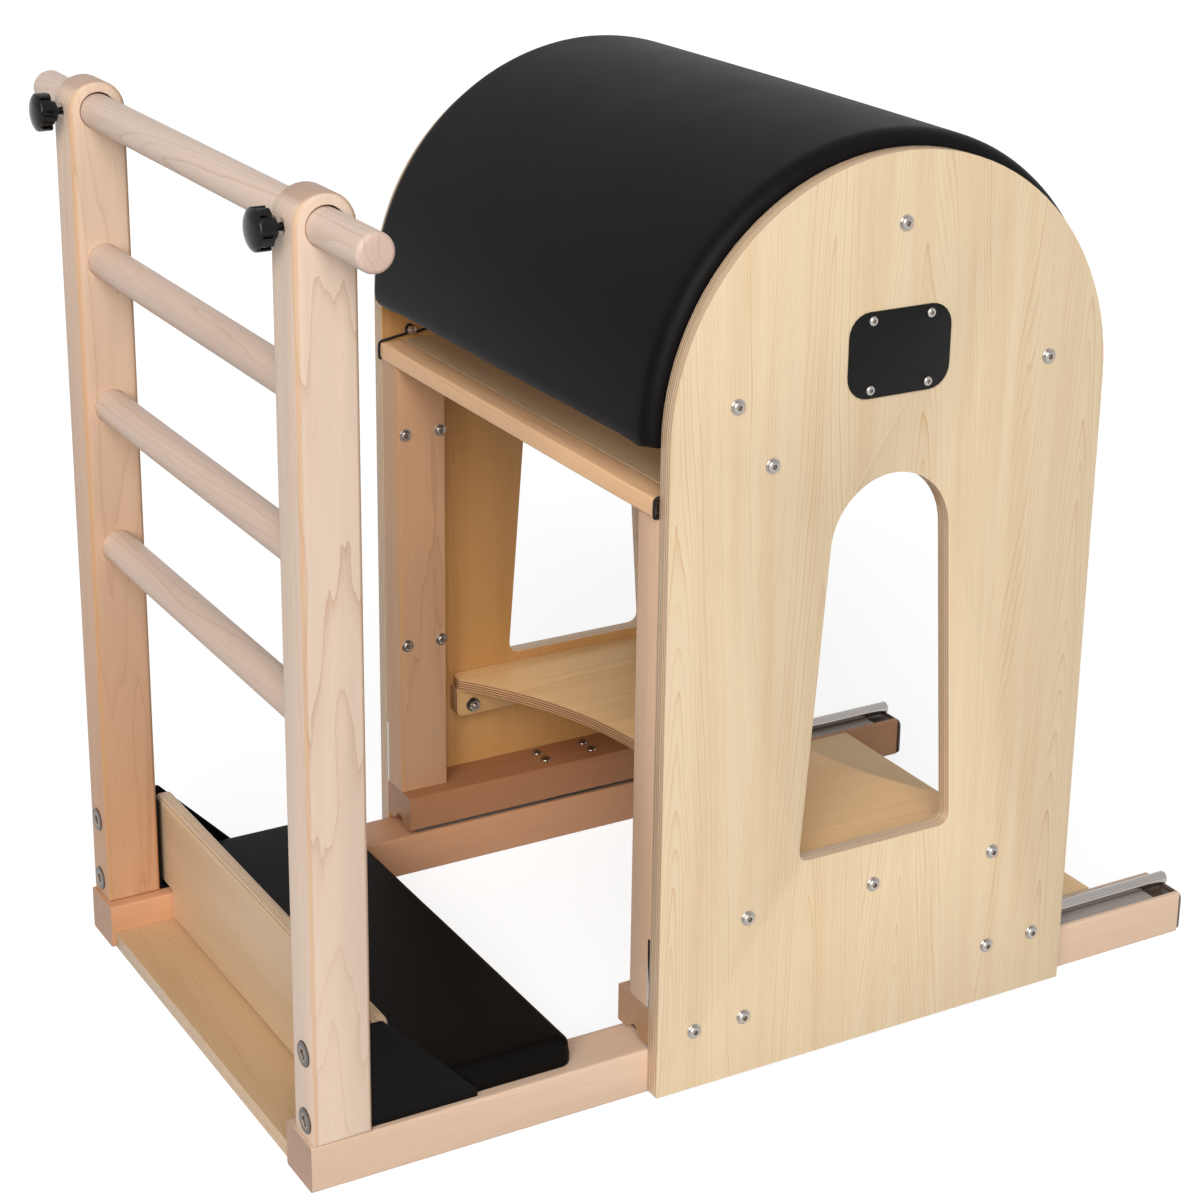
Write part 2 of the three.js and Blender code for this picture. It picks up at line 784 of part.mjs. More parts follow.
// Barrel post, with the rebate for the guide plate, the latch cavity behind it and the cord's groove above
function barrelPostGeometry() {
  const innerX = panelFaceX - barrelPostWidth;
  const rear = panelFront + barrelPostDepth;
  const section = rounded([
    [innerX, panelFront, barrelPostEdge],
    [panelFaceX, panelFront],
    [panelFaceX, rear],
    [innerX, rear, barrelPostEdge],
  ]);
  const bottom = beamTop + fit;
  const rebate = box(
    [panelFaceX - guidePlateThickness - fit, panelFront - overrun, bottom - overrun],
    [panelFaceX + overrun, panelFront + guidePlateDepth + fit, guidePlateTop + fit],
  );
  const cavity = box(
    [latchX - latchPinRadius - runningGap, panelFront + cordGrooveSetback, bottom - overrun],
    [panelFaceX + overrun, latchY + latchPinRadius + latchCavityMargin, latchCavityTop],
  );
  const groove = box(
    [cordGrooveX, panelFront + cordGrooveSetback, guidePlateTop],
    [panelFaceX + overrun, panelFront + cordGrooveSetback + cordGrooveWidth, barrelPostTop + overrun],
  );
  return cut(alongZ(section, bottom, barrelPostTop), rebate, cavity, groove);
}

// Guide plate: the steel strip that shows beside the barrel post and closes the latch cavity
function guidePlateGeometry() {
  return box(
    [panelFaceX - guidePlateThickness, panelFront, beamTop + fit],
    [panelFaceX, panelFront + guidePlateDepth, guidePlateTop],
  );
}

// Lock pin: a steel pin with a rounded nose, standing over the first lock hole
function latchPinGeometry() {
  const nose = latchPinRadius / 4;
  const profile = [
    [0, 0],
    [latchPinRadius - nose, 0],
    [latchPinRadius, nose],
    [latchPinRadius, latchPinLength - nose],
    [latchPinRadius - nose, latchPinLength],
    [0, latchPinLength],
  ];
  return turned("y", profile, smallRoundSteps).rotateX(Math.PI / 2).translate(latchX, latchY, latchTip);
}

// Release bar: a wooden grip between the panels, slotted at its ends for the cords, bored for the guide pins
function releaseBarGeometry() {
  const end = panelInnerX - barEndGap;
  const section = rounded(rectangle(barFront, barBottom, barFront + barDepth, barTop, barEdge));
  const slot = (side) => {
    const [a, b] = [side * cordGrooveX, side * (end + overrun)];
    const rear = panelFront + cordGrooveSetback + cordGrooveWidth;
    return box(
      [Math.min(a, b), barFront - overrun, barBottom - overrun],
      [Math.max(a, b), rear, barBottom + cordNotch],
    );
  };
  const bores = [-1, 1].map((side) =>
    roundBar(
      "y",
      guidePinRadius + runningGap,
      barFront + barDepth - guidePinReach - runningGap,
      barFront + barDepth + overrun,
      [side * guidePinX, (barBottom + barTop) / 2],
      smallRoundSteps,
    ),
  );
  return cut(alongX(section, -end, end), slot(-1), slot(1), ...bores);
}

// Fixed plank behind the release bar, bored for the guide pins
function fixedPlankGeometry() {
  const bores = [-1, 1].map((side) =>
    roundBar(
      "y",
      guidePinRadius + fit,
      plankFront - overrun,
      barFront + barDepth - guidePinReach + guidePinLength + fit,
      [side * guidePinX, (barBottom + barTop) / 2],
      smallRoundSteps,
    ),
  );
  const plank = box([-panelFaceX, plankFront, barBottom], [panelFaceX, plankFront + plankDepth, barTop]);
  return cut(plank, ...bores);
}

function guidePinGeometry() {
  const start = barFront + barDepth - guidePinReach;
  return roundBar(
    "y",
    guidePinRadius,
    start,
    start + guidePinLength,
    [guidePinX, (barBottom + barTop) / 2],
    smallRoundSteps,
  );
}

// A cord's route through its own points, with the same number of steps between each two of them
class Route extends THREE.CatmullRomCurve3 {
  getPointAt(share) {
    return this.getPoint(share);
  }
  getTangentAt(share) {
    return this.getTangent(share);
  }
  getSpacedPoints(steps) {
    return this.getPoints(steps);
  }
}

// Release cord: from its tail once round the anchor stud, over the bar's front, and down to the lock pin
function cordGeometry() {
  const at = ([y, z]) => [cordX, y, z];
  const [cornerY, cornerZ] = [barFront + barEdge, barTop - barEdge];
  const [loopRadius, bendRadius] = [anchorStudRadius, barEdge].map((core) => core + cordRadius + fit);
  const [away, up] = [anchorY - cornerY, anchorZ - cornerZ];
  const slope = Math.atan2(up, away) - Math.asin((loopRadius + bendRadius) / Math.hypot(away, up));
  const under = slope - Math.PI / 2;
  const loop = arc(anchorY, anchorZ, loopRadius, under, under - 2 * Math.PI, cordLoopSteps);
  const coiled = loop.map(([y, z], i) => [cordX - loopPitch * (1 - i / cordLoopSteps), y, z]);
  const [tailX, tailY, tailZ] = coiled[0];
  const tail = [tailX, tailY + cordTail * Math.cos(slope), tailZ + cordTail * Math.sin(slope)];
  const grooveY = panelFront + cordGrooveSetback + cordGrooveWidth / 2;
  const grooveDrop = barrelPostTop - latchCavityTop;
  const pinDrop = latchCavityTop - latchTip - latchPinLength - fit;
  const points = [
    tail,
    ...coiled,
    ...arc(cornerY, cornerZ, bendRadius, slope + Math.PI / 2, Math.PI, cordBendSteps).map(at),
    ...arc(barFront, barBottom + cordNotch, cordNotch / 2, Math.PI, (3 * Math.PI) / 2, cordBendSteps).map(at),
    ...grooveShares.map(([u, v]) => at([grooveY + cordRadius * u, barrelPostTop + cordRadius * v])),
    ...dropShares.map((share) => [cordX, grooveY, barrelPostTop - grooveDrop * share]),
    ...pinShares.map(([across, along, down]) => [
      cordX + (latchX - cordX) * across,
      grooveY + (latchY - grooveY) * along,
      latchCavityTop - pinDrop * down,
    ]),
  ];
  const route = new Route(points.map((point) => new THREE.Vector3(...point)), false, "centripetal");
  const section = arc(0, 0, cordRadius, 0, 2 * Math.PI, cordSides).slice(1);
  return new THREE.ExtrudeGeometry(new THREE.Shape(section.map(([u, v]) => new THREE.Vector2(u, v))), {
    steps: 2 * (points.length - 1),
    extrudePath: route,
  });
}

// Anchor stud on the panel, with the nut that clamps the cord
function anchorGeometry() {
  const at = [anchorY, anchorZ];
  const nutX = cordX - loopPitch - cordRadius - fit;
  const nut = arc(...at, nutAcrossFlats / Math.sqrt(3), 0, 2 * Math.PI, nutSides).slice(1);
  return join(
    roundBar("x", anchorStudRadius, nutX - nutThickness - studTail, panelFaceX, at, smallRoundSteps),
    alongX(nut, nutX - nutThickness, nutX),
  );
}

// A half ring over the barrel's middle, between two radii
function halfRing(inner, outer, x0, x1) {
  const outline = [
    ...arc(panelMiddleY, archZ, outer, 0, Math.PI, archSteps),
    ...arc(panelMiddleY, archZ, inner, Math.PI, 0, archSteps),
  ];
  return alongX(outline, x0, x1);
}

// Barrel cushion: a half tube with a crowned back, drawn in and rolled over where it meets the panels
function cushionGeometry() {
  const flatEnd = panelFaceX - cushionRollLength;
  const roll = Array.from({ length: cushionRollSteps }, (_, i) => {
    const angle = (i * Math.PI) / 2 / cushionRollSteps;
    const radius = cushionRadius - cushionRoll * (1 - Math.sin(angle));
    return [radius, flatEnd + cushionRollLength * Math.cos(angle)];
  });
  const crown = Array.from({ length: cushionCrownSteps + 1 }, (_, i) => {
    const along = 1 - (2 * i) / cushionCrownSteps;
    return [cushionRadius + cushionCrown * (1 - along ** 2), flatEnd * along];
  });
  const outer = [...roll, ...crown, ...roll.map(([radius, along]) => [radius, -along]).reverse()];
  const profile = [
    ...outer.reverse(),
    [cushionInnerRadius, panelFaceX],
    [cushionInnerRadius, -panelFaceX],
    [cushionRadius - cushionRoll, -panelFaceX],
  ];
  const tube = turned("x", profile, archSteps * 2).translate(0, panelMiddleY, archZ);
  const reach = cushionRadius + cushionCrown + overrun;
  const lower = box(
    [-panelInnerX, panelMiddleY - reach, archZ - reach],
    [panelInnerX, panelMiddleY + reach, archZ - cushionDrop],
  );
  return cut(tube, lower);
}

function crossRailGeometry() {
  const half = crossRailWidth / 2;
  return box(
    [-panelFaceX, crossRailY - half, crossRailZ - half],
    [panelFaceX, crossRailY + half, crossRailZ + half],
  );
}

// Shelf: a board with a hollow curve along its front and rear edges
function shelfGeometry() {
  const chordHalf = panelFaceX - shelfHornWidth;
  const rise = shelfHalfDepth - shelfWaistHalf;
  const radius = (chordHalf ** 2 + rise ** 2) / (2 * rise);
  const spread = Math.asin(chordHalf / radius);
  const centre = -shelfWaistHalf - radius;
  const front = [
    [-panelFaceX, -shelfHalfDepth, shelfCorner],
    ...arc(0, centre, radius, Math.PI / 2 + spread, Math.PI / 2 - spread, shelfArcSteps),
    [panelFaceX, -shelfHalfDepth, shelfCorner],
  ];
  const rear = front.map(([u, v, radius]) => [-u, -v, radius]);
  const board = alongZ(rounded([...front, ...rear]), shelfTop - shelfThickness, shelfTop);
  return board.translate(0, panelMiddleY, 0);
}

function cleatGeometry() {
  const reach = shelfHalfDepth + cleatOverhang;
  const top = shelfTop - shelfThickness - fit;
  const outline = rounded([
    [panelMiddleY - reach, top - cleatHeight, cleatCorner],
    [panelMiddleY + reach, top - cleatHeight, cleatCorner],
    [panelMiddleY + reach, top],
    [panelMiddleY - reach, top],
  ]);
  return alongX(outline, panelFaceX - cleatThickness, panelFaceX);
}

// Everything that comes in pairs is made for the right side and mirrored to the left
function pairOf(name, geometry, finish) {
  return ["right", "left"].map((side) => {
    const holder = new THREE.Group();
    holder.scale.x = side === "right" ? 1 : -1;
    holder.add(mesh(`${name}_${side}`, geometry, finish));
    return holder;
  });
}

function baseFrame() {
  const group = new THREE.Group();
  const inner = railInnerX - fit;
  const rebates = [gussetFoot(-1, fit), gussetFoot(1, fit)];
  const bottomBoard = box(
    [-inner, bottomBoardFront, bottomBoardRaise],
    [inner, bottomBoardFront + bottomBoardDepth, bottomBoardRaise + bottomBoardThickness],
  );
  const rearPlank = box(
    [-inner, rearPlankRear - rearPlankDepth, railHeight - rearPlankThickness],
    [inner, rearPlankRear, railHeight],
  );
  const rod = roundBar("y", rodRadius, rodStart, railLength, [railMiddleX, rodZ]);
  group.add(
    ...pairOf("base_rail", railGeometry(), "beech"),
    ...pairOf("bearing_plate", bearingPlateGeometry(), "greySteel"),
    ...pairOf("guide_rod", rod, "brightSteel"),
    ...pairOf("rail_end_block", endBlockGeometry(), "darkWood"),
    ...pairOf("rail_end_plate", endPlateGeometry(), "blackSteel"),
    mesh("bottom_board", bottomBoard, "plywood"),
    mesh("rear_cross_plank", rearPlank, "plywood"),
    ...pairOf("gusset", gussetGeometry(), "blackSteel"),
    mesh("kickboard", kickboardGeometry(), "plywood"),
    mesh("foot_pad", cut(footPadGeometry(), padBoard(fit), ...rebates), "vinyl"),
    mesh("pad_board", cut(padBoard(0), ...rebates), "plywood"),
  );
  return group;
}

function ladder() {
  const group = new THREE.Group();
  group.add(
    ...pairOf("ladder_post", ladderPostGeometry(), "beech"),
    ...rungHeights().map((z, i) => mesh(`rung_${i + 1}`, rungGeometry(z), "beech")),
    mesh("top_pole", poleGeometry(), "beech"),
    ...pairOf("knob_insert", insertGeometry(), "brightSteel"),
    ...pairOf("clamp_knob", knobGeometry(), "blackPlastic"),
  );
  return group;
}

function carriage() {
  const group = new THREE.Group();
  group.add(
    ...pairOf("side_panel", sidePanelGeometry(), "plywood"),
    mesh("badge_plate", badgeGeometry(), "blackPlastic"),
    ...pairOf("carriage_beam", beamGeometry(), "beech"),
    ...pairOf("front_bearing", bearingBlockGeometry(bearingPlaces[0]), "blackPlastic"),
    ...pairOf("rear_bearing", bearingBlockGeometry(bearingPlaces[1]), "blackPlastic"),
    ...pairOf("barrel_post", barrelPostGeometry(), "beech"),
    ...pairOf("latch_guide_plate", guidePlateGeometry(), "greySteel"),
    mesh("fixed_plank", fixedPlankGeometry(), "plywood"),
    ...pairOf("bar_guide_pin", guidePinGeometry(), "brightSteel"),
    ...pairOf("cord_anchor", anchorGeometry(), "brightSteel"),
    mesh("cross_rail", crossRailGeometry(), "beech"),
    mesh("shelf", shelfGeometry(), "plywood"),
    ...pairOf("shelf_cleat", cleatGeometry(), "plywood"),
  );
  return group;
}

function barrel() {
  const group = new THREE.Group();
  const ribInner = ribRadius - ribDepth;
  const skinInner = ribRadius + fit;
  group.add(
    mesh("barrel_cushion", cushionGeometry(), "vinyl"),
    mesh("barrel_skin", halfRing(skinInner, skinRadius, -panelFaceX, panelFaceX), "plywood"),
    ...pairOf("end_rib", halfRing(ribInner, ribRadius, panelFaceX - ribThickness, panelFaceX), "plywood"),
    mesh("middle_rib", halfRing(ribInner, ribRadius, -ribThickness / 2, ribThickness / 2), "plywood"),
  );
  return group;
}

function latchGear() {
  const group = new THREE.Group();
  group.add(
    mesh("release_bar", releaseBarGeometry(), "beech"),
    ...pairOf("latch_pin", latchPinGeometry(), "brightSteel"),
    ...pairOf("release_cord", cordGeometry(), "cord"),
  );
  return group;
}

// The model's own Y starts at the rails' front ends, and the object's origin is under its middle
const frontMost = postFront - knobStandoff - knobHubLength - knobHeadLength - knobDome;
const rearMost = railLength + fit + endPlateThickness;
const model = new THREE.Group();
model.position.y = -(frontMost + rearMost) / 2;
model.add(baseFrame(), ladder(), carriage(), barrel(), latchGear());

const machine = new THREE.Group();
machine.add(model);

export default machine;
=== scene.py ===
import math

import bmesh
import bpy
from mathutils import Matrix, Vector


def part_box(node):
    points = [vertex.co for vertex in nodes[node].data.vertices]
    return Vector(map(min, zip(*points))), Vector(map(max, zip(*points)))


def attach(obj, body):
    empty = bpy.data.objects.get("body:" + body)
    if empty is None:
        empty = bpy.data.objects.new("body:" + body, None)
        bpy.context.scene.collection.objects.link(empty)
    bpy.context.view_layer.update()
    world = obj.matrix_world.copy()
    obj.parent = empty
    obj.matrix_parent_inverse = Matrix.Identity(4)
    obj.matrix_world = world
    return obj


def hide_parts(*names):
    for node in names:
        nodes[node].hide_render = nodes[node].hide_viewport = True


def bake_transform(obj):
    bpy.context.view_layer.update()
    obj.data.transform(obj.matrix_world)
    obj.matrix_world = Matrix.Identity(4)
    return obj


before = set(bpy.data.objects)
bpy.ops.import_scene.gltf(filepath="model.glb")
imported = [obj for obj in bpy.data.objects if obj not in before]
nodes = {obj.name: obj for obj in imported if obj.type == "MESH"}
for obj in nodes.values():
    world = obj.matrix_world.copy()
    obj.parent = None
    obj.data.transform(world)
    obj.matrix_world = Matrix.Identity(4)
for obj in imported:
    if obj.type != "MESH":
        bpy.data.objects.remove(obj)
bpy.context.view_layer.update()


# Base rails
# Two lengths of solid maple, planed, with eased edges and clear satin lacquer.
# They lie on the floor and carry the steel and the ladder.
MM = 0.001
SHARP_EDGE = math.radians(35)


def linear(hex_colour):
    """The linear colour of an sRGB hex value, as a shader takes it."""
    channels = [int(hex_colour[i:i + 2], 16) / 255 for i in (1, 3, 5)]
    return [c / 12.92 if c <= 0.04045 else ((c + 0.055) / 1.055) ** 2.4 for c in channels] + [1.0]


def node_adder(tree, prefix="ShaderNode"):
    """Empties a node tree and gives the function that adds a node to it with its settings and inputs."""
    tree.nodes.clear()

    def add(kind, inputs=(), **settings):
        made = tree.nodes.new(prefix + kind)
        for setting, value in settings.items():
            setattr(made, setting, value)
        for name, value in dict(inputs).items():
            socket = made.inputs[name] if isinstance(name, int) else next(
                s for s in made.inputs if s.name == name and s.enabled)
            if isinstance(value, bpy.types.Node):
                value = next(s for s in value.outputs if s.enabled)
            if isinstance(value, bpy.types.NodeSocket):
                tree.links.new(value, socket)
            else:
                socket.default_value = value
        return made

    return add


def new_material(name):
    """An empty material and its node adder."""
    material = bpy.data.materials.new(name)
    material.use_nodes = True
    return material, node_adder(material.node_tree)


def variation(add, place, size, detail=2.0):
    """Smooth random change from place to place (mm), with features of the given size (mm)."""
    scaled = add("VectorMath", {0: place, 1: [1 / mm for mm in size]}, operation="MULTIPLY")
    return add("TexNoise", {"Vector": scaled, "Scale": 1.0, "Detail": detail}).outputs[0]


def timber(name, along, heart, ring, lean, tones, contrast):
    """Solid maple cut from a trunk whose heart lies at heart (mm, in the two axes across the grain).
    Growth rings (ring mm apart) show as long peaks on a flat-sawn face, straight lines on the next
    one and arcs on the end grain. tones are long grain, ring line, end grain and, if a fourth is given,
    the long grain towards the foot, darker there as painted shade. An upright's eased edges are tinted
    amber."""
    material, add = new_material(name)
    across, deep, length = {"x": "YZX", "y": "XZY", "z": "XYZ"}[along]
    coordinates = add("TexCoord")
    mm = add("VectorMath", {0: coordinates.outputs["Object"], "Scale": 1 / MM}, operation="SCALE")
    parts = add("SeparateXYZ", {"Vector": mm}).outputs
    grain = add("CombineXYZ", {"X": parts[across], "Y": parts[deep], "Z": parts[length]})

    bend = add("Math", {0: variation(add, grain, (80, 80, 620)), 1: 52}, operation="MULTIPLY")
    wander = add("Math", {0: variation(add, grain, (15, 15, 110)), 1: 5, 2: bend},
                 operation="MULTIPLY_ADD")
    from_heart = add("VectorMath", {0: grain, 1: (1, 1, 0), 2: (-heart[0], -heart[1], 0)},
                     operation="MULTIPLY_ADD")
    radius = add("Math", {0: add("VectorMath", {0: from_heart}, operation="LENGTH"), 1: wander},
                 operation="ADD")
    leaning = add("Math", {0: parts[length], 1: lean, 2: radius}, operation="MULTIPLY_ADD")
    years = add("Math", {0: leaning, 1: ring}, operation="DIVIDE")
    year = add("Math", {0: years}, operation="FRACT")
    chance = add("TexWhiteNoise", {"W": add("Math", {0: years}, operation="FLOOR")},
                 noise_dimensions="1D").outputs[0]
    strength = add("MapRange", {"Value": chance, "To Min": 0.15, "To Max": 1.0})
    line = add("Math", {0: year, 1: 14.0}, operation="POWER")
    rise = add("Math", {0: year, 1: 3.0}, operation="POWER")
    late = add("Math", {0: line, 1: 0.85, 2: add("Math", {0: rise, 1: 0.15}, operation="MULTIPLY")},
               operation="MULTIPLY_ADD")
    for share in (strength, contrast):
        late = add("Math", {0: late, 1: share}, operation="MULTIPLY")

    facing = add("SeparateXYZ", {"Vector": coordinates.outputs["Normal"]}).outputs
    lengthwise = add("Math", {0: facing[length]}, operation="ABSOLUTE")
    end = add("MapRange", {"Value": lengthwise, "From Min": 0.6, "From Max": 0.8})
    long_grain = linear(tones[0])
    # Painted shade: with a fourth tone, the long grain darkens towards the foot
    if len(tones) > 3:
        down = add("MapRange", {"Value": parts[length], "From Min": 1000.0, "From Max": 150.0})
        long_grain = add("Mix", {"Factor": down, "A": long_grain, "B": linear(tones[3])},
                         data_type="RGBA")
    if along == "z":
        corner = add("Math", {0: facing["X"], 1: facing["Y"]}, operation="MULTIPLY")
        corner = add("Math", {0: corner}, operation="ABSOLUTE")
        amber = add("MapRange", {"Value": corner, "From Min": 0.15, "From Max": 0.4, "To Max": 0.45})
        long_grain = add("Mix", {"Factor": amber, "A": long_grain, "B": linear("#c98f4a")},
                         data_type="RGBA")
    base = add("Mix", {"Factor": end, "A": long_grain, "B": linear(tones[2])}, data_type="RGBA")
    ringed = add("Mix", {"Factor": late, "A": base, "B": linear(tones[1])}, data_type="RGBA")

    cloud = add("MapRange", {"Value": variation(add, grain, (34, 34, 420), 3), "From Min": 0.3,
                             "From Max": 0.7, "To Min": 0.93, "To Max": 1.05})
    fibre = add("MapRange", {"Value": variation(add, grain, (0.7, 0.7, 26), 3), "From Min": 0.3,
                             "From Max": 0.7, "To Min": 0.975, "To Max": 1.02})
    fleck = add("MapRange", {"Value": variation(add, grain, (1.6, 1.6, 60), 1), "From Min": 0.73,
                             "From Max": 0.8, "To Min": 1.0, "To Max": 0.8})
    shade = add("Math", {0: add("Math", {0: cloud, 1: fibre}, operation="MULTIPLY"), 1: fleck},
                operation="MULTIPLY")
    colour = add("VectorMath", {0: ringed, "Scale": shade}, operation="SCALE")
    relief = add("Bump", {"Height": fibre, "Strength": 0.12, "Distance": 0.0004})
    surface = add("BsdfPrincipled", {"Base Color": colour, "Roughness": 0.42, "IOR": 1.5,
                                     "Specular IOR Level": 0.35, "Normal": relief})
    add("OutputMaterial", {"Surface": surface})
    return material


def smooth_group():
    """The nodes of a modifier that shades faces smooth, except over sharp edges."""
    tree = bpy.data.node_groups.new("smooth_curves", "GeometryNodeTree")
    for way in ("INPUT", "OUTPUT"):
        tree.interface.new_socket("Geometry", in_out=way, socket_type="NodeSocketGeometry")
    add = node_adder(tree, "")
    faces = add("GeometryNodeSetShadeSmooth", {"Geometry": add("NodeGroupInput")})
    gentle = add("FunctionNodeCompare", {0: add("GeometryNodeInputMeshEdgeAngle"), 1: SHARP_EDGE},
                 operation="LESS_THAN")
    edges = add("GeometryNodeSetShadeSmooth", {"Geometry": faces, "Shade Smooth": gentle},
                domain="EDGE")
    add("NodeGroupOutput", {0: edges})
    return tree


smooth_curves = smooth_group()


def dress(material, width, *names):
    """Gives CAD nodes their finish, eases their sharp edges by width mm and shades curves smooth."""
    for name in names:
        piece = nodes[name]
        piece.data.materials.clear()
        piece.data.materials.append(material)
        weld = piece.modifiers.new("Weld", "WELD")
        weld.merge_threshold = 0.02 * MM
        if width:
            bevel = piece.modifiers.new("Eased edges", "BEVEL")
            bevel.width = width * MM
            bevel.segments = 2
            bevel.limit_method = "ANGLE"
            bevel.angle_limit = SHARP_EDGE
            bevel.use_clamp_overlap = True
        piece.modifiers.new("Smooth curves", "NODES").node_group = smooth_curves


rail_right = timber("maple_rail_right", "y", (250, -260), 3.1, 0.004,
                    ("#e1c2a8", "#ad8160", "#b89279"), 0.4)
# The left rail is a darker, warmer copy of the right one: painted shade on the far side
rail_left = timber("maple_rail_left_painted_shade", "y", (-180, 300), 3.4, 0.005,
                   ("#cc9872", "#a37752", "#b08769"), 0.4)
dress(rail_right, 0, "base_rail_right")
dress(rail_left, 0, "base_rail_left")


# Steel on the rails
# Ground steel guide rods lie on rolled steel bearing plates let into the rails.
# Dark brown hardwood blocks and thin grey enamelled end plates close the rails' free ends.
def metal(name, colour, rough, brush, along=(1.0, 1.0, 1.0), bump=0.05, metallic=1.0):
    """Bare steel: brushing (brush mm across) stretches along one axis and varies the gloss.
    Less than fully metallic stands for a dull, oxidised skin."""
    material, add = new_material(name)
    size = [1 / (MM * brush * share) for share in along]
    brushed = add("VectorMath", {0: add("TexCoord").outputs["Object"], 1: size}, operation="MULTIPLY")
    lines = add("TexNoise", {"Vector": brushed, "Scale": 1.0, "Detail": 3.0}).outputs[0]
    gloss = add("MapRange", {"Value": lines, "From Min": 0.3, "From Max": 0.7,
                             "To Min": rough * 0.8, "To Max": rough * 1.25})
    tone = add("MapRange", {"Value": lines, "From Min": 0.3, "From Max": 0.7, "To Min": 0.88,
                            "To Max": 1.04})
    shade = add("VectorMath", {0: linear(colour)[:3], "Scale": tone}, operation="SCALE")
    relief = add("Bump", {"Height": lines, "Strength": bump, "Distance": 0.0002})
    surface = add("BsdfPrincipled", {"Base Color": shade, "Metallic": metallic, "Roughness": gloss,
                                     "Normal": relief})
    add("OutputMaterial", {"Surface": surface})
    return material


ground_steel = metal("ground_steel", "#b9b3ae", 0.13, 0.8, (1, 90, 1), 0.02)
rolled_steel = metal("rolled_steel", "#aba29b", 0.5, 1.2, (1, 14, 1), metallic=0.35)
dress(ground_steel, 0.3, "guide_rod_right", "guide_rod_left")
dress(rolled_steel, 0.3, "bearing_plate_right", "bearing_plate_left")


def coated(name, colour, rough, grain, depth, level):
    """Paint, powder coat or moulded plastic with a fine pebbled skin (grain mm)."""
    material, add = new_material(name)
    pebbles = add("VectorMath", {0: add("TexCoord").outputs["Object"], "Scale": 1 / (MM * grain)},
                  operation="SCALE")
    pebble = add("TexNoise", {"Vector": pebbles, "Scale": 1.0, "Detail": 3.0}).outputs[0]
    broad = add("TexNoise", {"Vector": pebbles, "Scale": 0.03, "Detail": 2.0}).outputs[0]
    tone = add("MapRange", {"Value": add("Math", {0: pebble, 1: broad}, operation="ADD"),
                            "From Min": 0.7, "From Max": 1.3, "To Min": 0.82, "To Max": 1.18})
    shade = add("VectorMath", {0: linear(colour)[:3], "Scale": tone}, operation="SCALE")
    gloss = add("MapRange", {"Value": broad, "From Min": 0.3, "From Max": 0.7,
                             "To Min": rough - 0.05, "To Max": rough + 0.07})
    relief = add("Bump", {"Height": pebble, "Strength": depth, "Distance": 0.0003})
    surface = add("BsdfPrincipled", {"Base Color": shade, "Roughness": gloss, "IOR": 1.5,
                                     "Specular IOR Level": level, "Normal": relief})
    add("OutputMaterial", {"Surface": surface})
    return material


dark_end_wood = timber("dark_brown_hardwood", "y", (0, 200), 3.0, 0.01, ("#4a3a2f", "#2b211a", "#3c2f26"), 0.5)
grey_enamel = coated("grey_enamel", "#63564f", 0.45, 0.8, 0.08, 0.2)
dress(dark_end_wood, 0.4, "rail_end_block_right", "rail_end_block_left")
dress(grey_enamel, 0.3, "rail_end_plate_right", "rail_end_plate_left")


# Boards between the rails
# Birch plywood: a bottom board in front, a cross plank at the rear and the kickboard
# across both rails. Faces are clear lacquered veneer and the cut edges show the plies.
def thickness(board, axis):
    """Where a board begins and ends on its thick axis, in mm."""
    return [corner["xyz".index(axis)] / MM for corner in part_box(board)]


